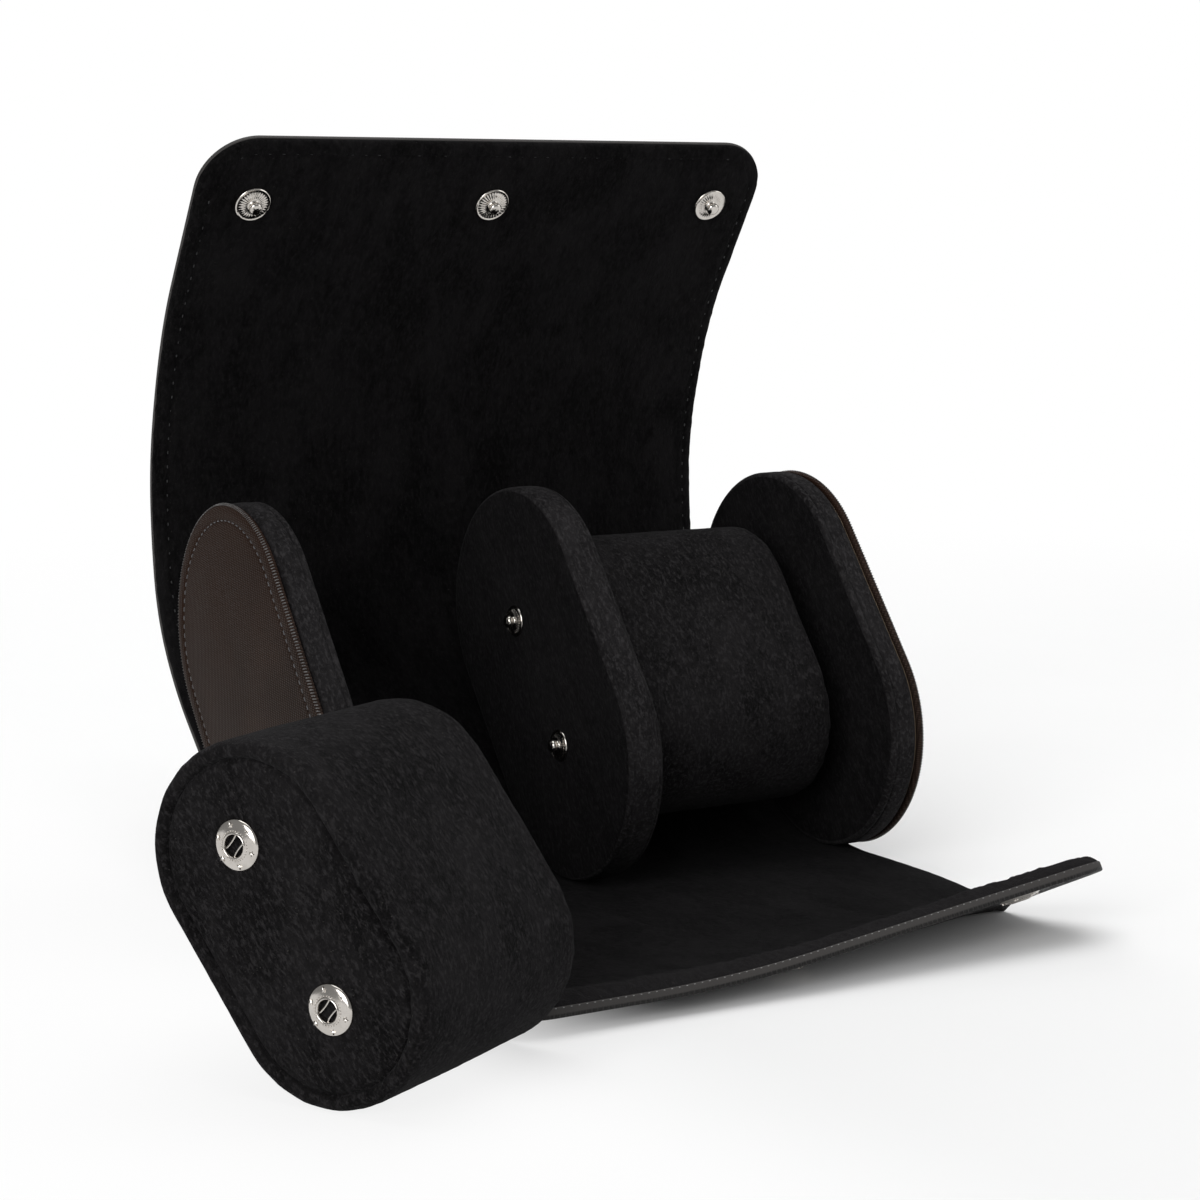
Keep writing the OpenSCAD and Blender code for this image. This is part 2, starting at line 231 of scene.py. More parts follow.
def wrap_lengths():
    """(name, body, next body, points) of each length of the wrap, from the front free edge."""
    half = (FRONT_HINGES[0] - FRONT_HINGES[1])[0] / 2
    foot = FRONT_HINGES[0] + np.array([half, 0])
    tip_out = FRONT_HINGES[3] + TIP_HALF * FRONT_DIR
    tip_in = FRONT_HINGES[3] + np.array([TIP_HALF, 0])
    mids = [FRONT_HINGES[k] - np.array([half, 0]) for k in range(2)]
    lengths = [
        ("front_5", "front_4", "front_corner", straight(FRONT_END, tip_out)),
        ("front_4", "front_4", "front_3", bezier(tip_out, FRONT_HINGES[3], tip_in)),
        ("front_3", "front_3", "front_2", straight(tip_in, mids[1])),
        ("front_2", "front_2", "front_1", straight(mids[1], mids[0])),
        ("front_1", "front_1", "case", straight(mids[0], foot)),
    ]
    turns = np.radians(np.arange(0, 90 - LEAN + 0.01, 1.0))
    arc = LOW + PANEL_R * np.stack([np.sin(turns), -np.cos(turns)], -1)
    base = np.concatenate([straight(foot, arc[0])[:-1], arc, BACK_END[None]])
    lengths.append(("base", "case", None, base))
    last = BACK_END
    for k, hinge in enumerate(TOP_HINGES):
        final = k == TOP_COUNT - 1
        before, after = top_bend_ends(k)
        points = bezier(before, hinge, after)
        if np.linalg.norm(before - last) > 0.1:
            points = np.concatenate([straight(last, before)[:-1], points])
        if final:
            points = np.concatenate([points, straight(after, TOP_END)[1:]])
            after = TOP_END
        lengths.append((f"top_{k + 1}", f"top_{k}" if k else "case", f"top_{k + 1}", points))
        last = after
    return lengths


LENGTHS = wrap_lengths()
LINE = np.concatenate([LENGTHS[0][3]] + [points[1:] for _, _, _, points in LENGTHS[1:]])
LINE_S = lengths_along(LINE)
LINE_END = LINE_S[-1]
STEPS = np.diff(LINE, axis=0)
TURN_S = (LINE_S[1:] + LINE_S[:-1]) / 2
TURN = np.unwrap(np.arctan2(STEPS[:, 1], STEPS[:, 0]))


def line_spans():
    """Where each length of the wrap starts and ends along its line."""
    ends = np.cumsum([0] + [len(points) - 1 for _, _, _, points in LENGTHS])
    return {length[0]: (LINE_S[a], LINE_S[b]) for length, a, b in zip(LENGTHS, ends, ends[1:])}


SPANS = line_spans()
BASE_S = SPANS["base"]

CORNER = JOINTS["front_corner"]
CORNER_AXIS = unit(np.array(CORNER["axis"], float))
CORNER_POS = np.array(CORNER["pos_m"], float) / MM
FLAP_UP = np.array([0.0, sind(FRONT_RISE), cosd(FRONT_RISE)])
CORNER_OUT = unit(np.cross(CORNER_AXIS, FLAP_UP))

# The round bend that lifts the corner: where it starts from the hinge, how far it runs, and its angle
LIFT_START = -10.0
LIFT_SPAN = 16.0
LIFT = math.radians(20.0)
CORNER_BLEND = 6.0

# How the sheet is drawn out at the lifted corner, and in along the side behind it
CORNER_DRAW = 9.0
CORNER_REACH = 17.0
SIDE_DRAW = 3.2
SIDE_AT = 36.0
SIDE_REACH = 20.0
SIDE_START, SIDE_FADE = 40.0, 42.0


def smooth(t):
    """A soft step from 0 to 1."""
    t = np.clip(t, 0, 1)
    return t * t * (3 - 2 * t)


def lifted_corner(points, depth):
    """The flat front flap's points at a depth, once the round bend has lifted its corner."""
    out = (points - CORNER_POS) @ CORNER_OUT
    past = np.clip(out - LIFT_START, 0, None)
    turn = LIFT * np.clip(past / LIFT_SPAN, 0, 1)
    radius = LIFT_SPAN / LIFT
    beyond = np.clip(past - LIFT_SPAN, 0, None)
    along = radius * np.sin(turn) + beyond * np.cos(turn)
    height = radius * (1 - np.cos(turn)) + beyond * np.sin(turn)
    along = along + depth * np.sin(turn) - past
    height = height - depth * np.cos(turn) + depth
    return points + along[..., None] * CORNER_OUT + height[..., None] * FLAP_UP


def side_pull(x, s):
    """How far a point of the sheet moves along X, out at the lifted corner and in behind it."""
    tip = np.exp(-((x - WRAP_W / 2) ** 2 + s ** 2) / CORNER_REACH ** 2)
    waist = np.exp(-((s - SIDE_AT) / SIDE_REACH) ** 2) * smooth((x - SIDE_START) / SIDE_FADE)
    return CORNER_DRAW * tip - SIDE_DRAW * waist


def wrap_place(x, s, depth):
    """Where the wrap's point at x and s lies, at a depth below the lining's face."""
    x = x + side_pull(x, s)
    y, z = np.interp(s, LINE_S, LINE[:, 0]), np.interp(s, LINE_S, LINE[:, 1])
    turn = np.interp(s, TURN_S, TURN)
    ny, nz = -np.sin(turn), np.cos(turn)
    points = np.stack([x, y - depth * ny, z - depth * nz], -1)
    lifted = (s < SPANS["front_5"][1])[..., None]
    return np.where(lifted, lifted_corner(points, depth), points)


def half_width(s, trim=0.0):
    """Half of the sheet's width at s, less round its corners."""
    end = np.minimum(s, LINE_END - s) - trim
    inside = np.clip(CORNER_R - trim - end, 0, CORNER_R - trim)
    return WRAP_W / 2 - CORNER_R + np.sqrt(np.maximum((CORNER_R - trim) ** 2 - inside ** 2, 0))


def edge_distance(x, s, trim=0.0):
    """The distance in from the sheet's nearest edge."""
    side = WRAP_W / 2 - trim - np.abs(x)
    end = np.minimum(s, LINE_END - s) - trim
    corner = CORNER_R - trim - np.hypot(
        np.clip(CORNER_R - trim - side, 0, None), np.clip(CORNER_R - trim - end, 0, None))
    return np.minimum(np.minimum(side, end), corner)


# Where the grid's lines lie in from an edge, and how many run along between the edges
INSETS = np.array([
    0, .06, .18, .36, .7, 1.1, 1.6, 2.2, 2.8, 3.15, 3.5, 3.85, 4.2, 4.8, 5.6, 6.8, 8.6, 11])
CORNER_ROWS = CORNER_R * (1 - np.cos(np.radians(np.arange(0, 91, 5))))
LINES, FINE_LINES = 90, 230
ROW_STEP, FINE_STEP, FINE_REACH = 1.6, 0.45, 18.0


def wrap_grid(name, trim=0.0, middle=LINES):
    """The (x, s) grid of one length of a sheet, fine near its edges."""
    start, end = SPANS[name]
    rows = np.linspace(start, end, max(3, int((end - start) / ROW_STEP) + 1))
    near = np.unique(np.round(np.concatenate([INSETS, CORNER_ROWS]), 3)) + trim
    if name == "front_5":
        fine = np.arange(near[-1] + FINE_STEP, FINE_REACH, FINE_STEP)
        rows = np.concatenate([near, fine, rows[rows > fine[-1] + ROW_STEP / 2]])
    if name == f"top_{TOP_COUNT}":
        far = LINE_END - near[::-1]
        rows = np.concatenate([rows[rows < far[0] - ROW_STEP / 2], far])
    wide = half_width(rows, trim)[:, None]
    sides = wide - INSETS[None, :]
    inner = (wide - INSETS[-1]) * np.linspace(1, -1, middle)[None, 1:-1]
    x = np.concatenate([-sides, -inner, sides[:, ::-1]], 1)
    s = np.repeat(rows[:, None], x.shape[1], 1)
    return x, s


def base_share(s, fade=12.0):
    """1 on the part of the wrap that the panels stand against, and 0 out on the flaps."""
    return smooth((s - BASE_S[0] + fade) / fade) * smooth((BASE_S[1] + fade - s) / fade)


def flat_of(x, s):
    return np.stack([x, s, np.zeros_like(s)], -1)


def ragged(x, s, amount):
    """Moves the points near the sides in and out a little, as the nap of a cut edge stands."""
    side = np.exp(-((WRAP_W / 2 - np.abs(x)) / 1.5) ** 2)
    lines = flat_of(np.sign(x) * 40.0, s)
    return x + np.sign(x) * amount * side * (grain(lines, 1.6, 1) + 0.7 * grain(lines, 0.9, 3))


# The lining: how far it is cut back, the widths of its rolled edges, the band at the front edge, and
# how far the nap of its sides stands in and out
LINING_TRIM = 0.15
BASE_ROLL, FLAP_ROLL = 1.1, 3.4
BAND_AT, BAND_WIDTH, BAND_HEIGHT = 4.2, 3.0, 0.8
RAGGED = 0.16


def lining_face(x, s, trim):
    """The depth of the lining's face: rolled edges, a thick band at the front edge, lumps and nap."""
    d = edge_distance(x, s, trim)
    base = base_share(s)
    end = np.minimum(s, LINE_END - s)
    front = smooth((BASE_S[0] - s) / 30)
    roll = BASE_ROLL * base + (1 - base) * FLAP_ROLL
    t = np.clip(d / roll, 0, 1)
    height = LINING_T * np.sqrt(np.clip(1 - (1 - t) ** 2, 0, 1))
    loose = (1 - base) * smooth(d / 2.0)
    flat = flat_of(x, s)
    near = front * np.exp(-(end / 8.0) ** 2)
    band = BAND_HEIGHT * np.exp(-((end - BAND_AT) / BAND_WIDTH) ** 2)
    height = height + front * band * smooth(d / 3.0)
    lumps = 0.42 * grain(flat, 1.9, 2) + 0.38 * grain(flat, 1.1, 1)
    height = height + near * smooth(d / 1.2) * lumps
    groove = 0.3 * np.exp(-((d - STITCH_INSET) / 0.55) ** 2)
    height = height - (1 - front) * loose * groove
    waves = 0.10 * grain(flat, 22.0, 1) + 0.05 * grain(flat, 7.0, 2)
    height = height + loose * (waves - 0.15 * (1 - front))
    fuzz = 0.10 * grain(flat, 1.6, 0) + 0.07 * grain(flat, 0.9, 3)
    share = (1 - base) * (0.35 + 1.3 * front * np.exp(-(end / 7.0) ** 2))
    height = height + fuzz * smooth(d / 0.5) * share
    return LINING_T - height


def leather_faces(x, s):
    """The depths of the leather's two faces: rounded edges, the stitches' groove and the front lip."""
    d = edge_distance(x, s)
    soft = 0.42
    rise = soft - np.sqrt(np.clip(soft ** 2 - np.clip(soft - d, 0, soft) ** 2, 0, None))
    groove = 0.14 * np.exp(-((d - STITCH_INSET) / 0.45) ** 2)
    lip = 0.75 * smooth((BASE_S[0] - s) / 20) * smooth((0.75 - d) / 0.5)
    heel = 0.45 * smooth((BASE_S[0] - s) / 20) * smooth((2.6 - np.minimum(s, d)) / 2.2)
    return LINING_T + 0.02 + rise - lip, WRAP_T - rise - groove + heel * (s > 0)


def walls(maker, top, bottom, cols, rows):
    """Faces that close a sheet between its top and bottom grids."""
    loop = list(range(cols))
    loop += [r * cols + cols - 1 for r in range(1, rows)]
    loop += [(rows - 1) * cols + c for c in range(cols - 2, -1, -1)]
    loop += [r * cols for r in range(rows - 2, 0, -1)]
    faces = []
    for i, a in enumerate(loop):
        b = loop[(i + 1) % len(loop)]
        faces.append((top + b, top + a, bottom + a, bottom + b))
    maker.faces.extend(faces)
    maker.slots.extend([0] * len(faces))


def wrap_sheet(name, x, s, top, bottom, materials, nap=0.0):
    """One length of a sheet, closed all round, between two grids of depths."""
    maker = Maker()
    x = ragged(x, s, nap)
    rows, cols = x.shape
    lay = np.stack([x, s, top], -1)
    first = maker.add(wrap_place(x, s, top), grid_faces(rows, cols), lay)
    lay = np.stack([x, s, bottom], -1)
    second = maker.add(wrap_place(x, s, bottom), grid_faces(rows, cols, flip=True), lay)
    walls(maker, first, second, cols, rows)
    return maker.finish(name, materials, sharp_angle=50)


def attach_length(obj, name, body, after):
    """Attaches a piece of the wrap that has no next body to its body, and bakes the others' place into
    their meshes.
    """
    if after is None:
        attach(obj, body)
        return
    if name == "front_5":
        start = (CORNER_POS - CORNER_BLEND * CORNER_OUT) * MM
        end = (CORNER_POS + CORNER_BLEND * CORNER_OUT) * MM
        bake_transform(obj)
        return
    points = next(p for n, _, _, p in LENGTHS if n == name)
    first, last = points[0], points[-1]
    if name == "front_3":
        first = FRONT_HINGES[2] - (last - FRONT_HINGES[2])
    if name.startswith("top"):
        first, last = top_bend_ends(int(name[-1]) - 1)
    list(first * MM)
    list(last * MM)
    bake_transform(obj)


# ---------------------------------------------------------------- stitches

# Each kind of stitch on the wrap: (length, radius)
SOLE_STITCH = (2.5, 0.24)
LINING_STITCH = (0.8, 0.19)
EDGE_STITCH = (0.5, 0.12)
EDGE_INSET = 0.1


def capsule(length, radius, sides=6):
    """A short round-ended rod along X."""
    rings = [(-0.5, 0.0), (-0.44, 0.62), (-0.3, 0.95), (0.3, 0.95), (0.44, 0.62), (0.5, 0.0)]
    verts = []
    for at, wide in rings:
        for k in range(sides):
            a = 2 * math.pi * k / sides
            verts.append((at * length, wide * radius * math.cos(a), wide * radius * math.sin(a)))
    return np.array(verts), grid_faces(len(rings), sides, closed=True, flip=True)


def add_stitch(maker, at, along, out, length, radius):
    """Adds one stitch at a point, lying along a direction on a face that looks out."""
    verts, faces = capsule(length, radius)
    along = unit(along)
    side = unit(np.cross(out, along))
    up = np.cross(along, side)
    placed = at + verts[:, :1] * along + verts[:, 1:2] * side + verts[:, 2:3] * up
    maker.add(placed, faces)


def outline_walk(inset, pitch):
    """Points (x, s) spaced along the wrap's outline at an inset, all the way round."""
    r = CORNER_R - inset
    wide, far = WRAP_W / 2 - CORNER_R, LINE_END - CORNER_R
    arc = np.radians(np.arange(0, 91, 3))
    points = []
    for sx, cs, start in ((1, far, 0), (-1, far, 1), (-1, CORNER_R, 2), (1, CORNER_R, 3)):
        turn = arc + start * math.pi / 2
        points += list(np.stack([sx * wide + r * np.cos(turn), cs + r * np.sin(turn)], -1))
    points = np.array(points + [points[0]])
    length = lengths_along(points)
    n = int(length[-1] / pitch)
    at = (np.arange(n) + 0.5) * length[-1] / n
    return np.stack([np.interp(at, length, points[:, 0]), np.interp(at, length, points[:, 1])], -1)


def wrap_stitches(name, inset, pitch, length, radius, depth_of, material, keep=None, uneven=0.0):
    """The stitches of one length of the wrap, or None where it has none."""
    walk = outline_walk(inset, pitch)
    start, end = SPANS[name]
    ahead = np.roll(walk, -1, 0) - np.roll(walk, 1, 0)
    maker = Maker()
    for (x, s), step in zip(walk, ahead):
        if not start <= s < end or keep and not keep(x, s):
            continue
        step = unit(step)
        chance = uneven * grain(np.array([x * 3.1, s * 2.3, 5.0]), 1.0, 2)
        d = depth_of(np.array([x]), np.array([s]))[0] + 0.5 * abs(chance)
        a = wrap_place(np.array([x]), np.array([s]), np.array([d]))[0]
        b = wrap_place(np.array([x + step[0]]), np.array([s + step[1]]), np.array([d]))[0]
        c = wrap_place(np.array([x]), np.array([s]), np.array([d - 1.0]))[0]
        add_stitch(maker, a, b - a, c - a, length * (1 + chance), radius)
    return maker.finish(f"{material.name}_{name}", [material]) if maker.verts else None


# ---------------------------------------------------------------- stadium shaped pieces

def stadium_loop(radius, length, arc=44, side=22):
    """Points (p, q) round a stadium, with q along its straight sides."""
    t = np.linspace(0, 1, side, endpoint=False)
    turn = np.pi * np.linspace(0, 1, arc, endpoint=False)
    half = length / 2
    parts = [
        np.stack([np.full(side, radius), -half + length * t], -1),
        np.stack([radius * np.cos(turn), half + radius * np.sin(turn)], -1),
        np.stack([np.full(side, -radius), half - length * t], -1),
        np.stack([-radius * np.cos(turn), -half - radius * np.sin(turn)], -1),
    ]
    return np.concatenate(parts)


def loop_outward(radius, length, arc=44, side=22):
    """The outward directions (p, q) at the points of a stadium."""
    loop = stadium_loop(radius, length, arc, side)
    core = loop.copy()
    core[:, 0] = 0
    core[:, 1] = np.clip(core[:, 1], -length / 2, length / 2)
    out = loop - core
    return out / np.linalg.norm(out, axis=1)[:, None]


def stadium_mesh(radius, length, profile, swell=None, arc=44, side=22):
    """Vertices (t, p, q) and faces of a stadium solid from a profile of (inset, t) points."""
    rings = []
    for inset, t in profile:
        loop = stadium_loop(max(radius - inset, 0.25), length, arc, side)
        rings.append(np.column_stack([np.full(len(loop), float(t)), loop]))
    verts = np.array(rings)
    if swell is not None:
        verts = swell(verts)
    count = verts.shape[1]
    faces = grid_faces(len(rings), count, closed=True)
    flat = verts.reshape(-1, 3)
    faces += cap_faces(0, arc, side, True) + cap_faces((len(rings) - 1) * count, arc, side, False)
    return flat, faces


def mirrored(profile, width=0.0):
    """Half of a section and then its other half, about the middle of its width."""
    back = profile[::-1][1:] * np.array([1, -1]) + np.array([0, width])
    return np.concatenate([profile, back])


def rim_slots(profile, faces, rim, arc=44, side=22):
    """1 for the faces of a stadium solid's rim, which take the lighter suede of a painted highlight,
    and 0 for the others.
    """
    count = 2 * (arc + side)
    slots = []
    for a, b in zip(profile[:-1], profile[1:]):
        slots += [int(max(a[0], b[0]) < rim)] * count
    return slots + [0] * (len(faces) - len(slots))


def cap_faces(start, arc, side, flip):
    """Quads across the narrow slot that is left in the middle of a stadium face."""
    count = 2 * (arc + side)
    right = [start + k for k in range(side + 1)]
    left = [start + (2 * side + arc - k) % count for k in range(side + 1)]
    faces = []
    for k in range(side):
        faces.append((right[k], right[k + 1], left[k + 1], left[k]))
    faces.append(tuple(start + side + k for k in range(arc + 1)))
    faces.append(tuple(start + (2 * side + arc + k) % count for k in range(arc + 1)))
    return [tuple(reversed(f)) for f in faces] if flip else faces


def placed_stadium(flat, centre, lean, out=1.0, turn=0.0, origin=(0.0, 0.0)):
    """(t, p, q) points set in the row frame: t runs along X, and the stadium leans back."""
    t, p, q = flat[..., 0] * out, flat[..., 1], flat[..., 2]
    y = centre[0] + p * cosd(lean) + q * sind(lean)
    z = centre[1] - p * sind(lean) + q * cosd(lean)
    return np.stack([
        origin[0] + t * cosd(turn) - y * sind(turn),
        origin[1] + t * sind(turn) + y * cosd(turn), z], -1)


# The cloth simulation that fills the cushions: its mesh size in mm, steps, frames, mass and pressure,
# and the greatest push in mm with the share of it along the cushion's axis
CLOTH_VOXEL = 4.2
CLOTH_QUALITY = 6
CLOTH_FRAMES = 20
CLOTH_MASS = 0.2
CLOTH_PRESSURE = 4.0
PUFF_CAP = 1.3
PUFF_SHARES = (0.4, 1, 1)


def puffed(points, radius, length, span):
    """How far the filling presses out each point of a stadium cover, in mm, from a cloth simulation."""
    scene = bpy.context.scene
    maker = Maker()
    thick = span[1] - span[0]
    steps = np.linspace(0, 1, max(3, int(thick / 4.0)))
    profile = [(radius * k, span[0]) for k in (0.8, 0.5, 0.25)]
    profile += [(0.0, span[0] + thick * k) for k in steps]
    profile += [(radius * k, span[1]) for k in (0.25, 0.5, 0.8)]
    maker.add(*stadium_mesh(radius, length, profile, arc=20, side=10))
    block = maker.finish("padding_block", [])
    remesh = block.modifiers.new("even_mesh", "REMESH")
    remesh.mode, remesh.voxel_size = "VOXEL", CLOTH_VOXEL * MM
    graph = bpy.context.evaluated_depsgraph_get()
    mesh = bpy.data.meshes.new_from_object(block.evaluated_get(graph))
    even = bpy.data.objects.new("padding_even", mesh)
    bpy.context.collection.objects.link(even)
    before = positions(even.data)
    cloth = even.modifiers.new("padding", "CLOTH")
    cloth.settings.quality = CLOTH_QUALITY
    cloth.settings.mass = CLOTH_MASS
    cloth.settings.use_pressure = True
    cloth.settings.uniform_pressure_force = CLOTH_PRESSURE
    cloth.settings.effector_weights.gravity = 0
    for frame_number in range(1, CLOTH_FRAMES + 1):
        scene.frame_set(frame_number)
    graph = bpy.context.evaluated_depsgraph_get()
    swollen = even.evaluated_get(graph).to_mesh()
    moved = positions(swollen) - before
    even.evaluated_get(graph).to_mesh_clear()
    scene.frame_set(1)
    reach = np.linalg.norm(moved, axis=1)[:, None]
    moved = moved * PUFF_CAP / (PUFF_CAP + reach)
    tree = KDTree(len(before))
    for index, point in enumerate(before):
        tree.insert(point, index)
    tree.balance()
    out = np.zeros_like(points)
    for index, point in enumerate(points):
        near = tree.find_n(point, 6)
        weights = np.array([1 / (distance ** 2 + 1.0) for _, _, distance in near])
        out[index] = (weights[:, None] * moved[[i for _, i, _ in near]]).sum(0) / weights.sum()
    for obj in (block, even):
        mesh = obj.data
        bpy.data.objects.remove(obj)
        bpy.data.meshes.remove(mesh)
    return out


def positions(mesh):
    """A mesh's points in millimetres."""
    flat = np.empty(len(mesh.vertices) * 3, np.float32)
    mesh.vertices.foreach_get("co", flat)
    return flat.reshape(-1, 3).astype(float) / MM


def curve_profile(points, steps=6):
    """A smooth line through the (inset, t) points of a section."""
    points = np.array(points, float)
    ends = np.concatenate([[2 * points[0] - points[1]], points, [2 * points[-1] - points[-2]]])
    out = []
    for k in range(1, len(ends) - 2):
        a, b, c, d = ends[k - 1:k + 3]
        for t in np.linspace(0, 1, steps, endpoint=False):
            out.append(0.5 * (2 * b + (c - a) * t + (2 * a - 5 * b + 4 * c - d) * t * t
                              + (3 * b - a - 3 * c + d) * t ** 3))
    out.append(points[-1])
    return np.array(out)


# ---------------------------------------------------------------- finishes

class Wire:
    """A value in a material's node tree, so that shader maths reads as an expression."""

    def __init__(self, finish, socket):
        self.finish, self.socket = finish, socket

    def maths(self, operation, *others):
        values = {0: self}
        values.update({i + 1: other for i, other in enumerate(others)})
        return self.finish.add("ShaderNodeMath", {"operation": operation}, values)

    def __add__(self, other):
        return self.maths("ADD", other)

    __radd__ = __add__

    def __mul__(self, other):
        return self.maths("MULTIPLY", other)

    __rmul__ = __mul__

    def __sub__(self, other):
        return self.maths("SUBTRACT", other)

    def __rsub__(self, other):
        return (self * -1.0) + other

    def __pow__(self, other):
        return self.maths("POWER", other)

    def clamped(self):
        return self.maths("MAXIMUM", 0.0).maths("MINIMUM", 1.0)

    def step(self, low, high):
        return self.finish.add("ShaderNodeMapRange", {"interpolation_type": "SMOOTHSTEP"},
                               {"Value": self, "From Min": low, "From Max": high})


class Finish:
    """A material that is built from nodes."""

    def __init__(self, name):
        self.material = bpy.data.materials.new(name)
        self.material.use_nodes = True
        self.tree = self.material.node_tree
        self.tree.nodes.clear()

    def add(self, kind, settings=None, values=None, out=0):
        """A new node with its settings and its inputs' values or links, as the Wire of one output."""
        node = self.tree.nodes.new(kind)
        for key, value in (settings or {}).items():
            setattr(node, key, value)
        for key, value in (values or {}).items():
            socket = node.inputs[key]
            if isinstance(value, Wire):
                self.tree.links.new(value.socket, socket)
            else:
                socket.default_value = value
        return Wire(self, node.outputs[out])

    def lay(self):
        """The piece's own flat coordinates, in millimetres."""
        return self.add("ShaderNodeAttribute", {"attribute_name": "lay"}, out=1)

    def object_mm(self):
        """The object's own coordinates, in millimetres."""
        place = self.add("ShaderNodeTexCoord", out=3)
        return self.add("ShaderNodeVectorMath", {"operation": "SCALE"}, {0: place, "Scale": 1000.0})

    def stretched(self, vector, scale, turn=0.0):
        return self.add("ShaderNodeMapping", None,
                        {"Vector": vector, "Scale": scale, "Rotation": (0, 0, math.radians(turn))})

    def noise(self, vector, size, detail=2.0, rough=0.5, warp=0.0):
        """Noise whose features are about size mm, or size metres on the floor."""
        return self.add("ShaderNodeTexNoise", None, {
            "Vector": vector, "Scale": 1.0 / size, "Detail": detail, "Roughness": rough,
            "Distortion": warp})

    def axis(self, vector, index):
        node = self.tree.nodes.new("ShaderNodeSeparateXYZ")
        self.tree.links.new(vector.socket, node.inputs[0])
        return Wire(self, node.outputs[index])

    def blend(self, factor, a, b):
        return self.add("ShaderNodeMix", {"data_type": "RGBA"},
                        {0: factor, 6: (*a, 1) if isinstance(a, tuple) else a,
                         7: (*b, 1) if isinstance(b, tuple) else b}, out=2)

    def bump(self, height, strength, distance):
        return self.add("ShaderNodeBump", None, {
            "Height": height, "Strength": strength, "Distance": distance * MM})

    def surface(self, **sockets):
        names = {key.replace("_", " "): value for key, value in sockets.items()}
        shader = self.add("ShaderNodeBsdfPrincipled", None, names)
        return self.output(shader)

    def output(self, shader):
        node = self.tree.nodes.new("ShaderNodeOutputMaterial")
        self.tree.links.new(shader.socket, node.inputs["Surface"])
        return self.material


FLECK_COLOUR = (0.045, 0.042, 0.040)
NICKEL_COLOURS = ((0.56, 0.53, 0.495), (0.42, 0.395, 0.365))
NICKEL_ROUGH = 0.13
BOARD_COLOURS = ((0.16, 0.11, 0.07), (0.30, 0.23, 0.15))
FOAM_COLOURS = ((0.52, 0.50, 0.45), (0.70, 0.68, 0.62))
FLOOR_COLOURS = ((0.85, 0.85, 0.85), (0.86, 0.86, 0.86))


def shade(colour, amount):
    """A colour made lighter or darker, by one amount or by one for each channel."""
    amounts = amount if hasattr(amount, "__len__") else (amount,) * 3
    return tuple(c * k for c, k in zip(colour, amounts))


def suede(name, colour, sheen=0.02, nap_turn=0.0, contrast=1.0, spread=1.0, roll=False):
    """Napped black suede: short fibres in clumps, brushed patches and small pale flecks, and with roll
    a painted sheen that lightens the rolled front edge.
    """
    f = Finish(name)
    lay = f.lay()
    brushed = f.noise(f.stretched(lay, (1.0, 0.45, 1.0), 30 + nap_turn), 11.0, 3.0, 0.55, 0.6)
    patches = f.noise(lay, 26.0, 2.0, 0.5)
    streaks = f.noise(f.stretched(lay, (1.0, 0.3, 1.0), -35 + nap_turn), 1.5, 3.0, 0.6)
    clumps = f.noise(f.stretched(lay, (1.0, 0.5, 1.0), 50 + nap_turn), 0.8, 4.0, 0.7, 0.3)
    mottled = f.noise(lay, 3.2, 3.0, 0.6, 0.5)
    fibres = f.noise(lay, 0.42, 3.0, 0.7)
    fine = f.noise(lay, 0.17, 2.0, 0.6)
    flecks = f.noise(lay, 0.5, 1.0, 0.5).step(0.735, 0.80)
    tone = (brushed * 0.35 + patches * 0.2 + streaks * 0.25 + mottled * 0.2).step(0.38, 0.62)
    base = f.blend(tone, shade(colour, 1 - 0.38 * spread), shade(colour, 1 + 0.5 * spread))
    if roll:
        # Painted sheen: the rolled front edge, within about 11 mm of the sheet's end, is painted up to
        # 3.7 times lighter
        near = f.axis(lay, 1).step(11.0, 3.0)
        base = f.blend(near * (clumps * 0.7 + 0.45).clamped(), base, shade(colour, 3.7))
    base = f.blend(clumps.step(0.46, 0.68) * (0.7 * contrast), base, shade(colour, 3.6))
    base = f.blend(fibres.step(0.5, 0.8) * (0.5 * contrast), base, shade(colour, 3.0))
    base = f.blend(flecks * (0.7 * contrast), base, FLECK_COLOUR)
    height = clumps * 0.9 + fibres * 0.6 + fine * 0.35 + streaks * 0.5
    normal = f.bump(height, 0.9, 0.34)
    return f.surface(Base_Color=base, Roughness=0.93, Normal=normal, Specular_IOR_Level=0.03,
                     Sheen_Weight=sheen, Sheen_Roughness=0.45, Sheen_Tint=(0.72, 0.72, 0.75, 1))


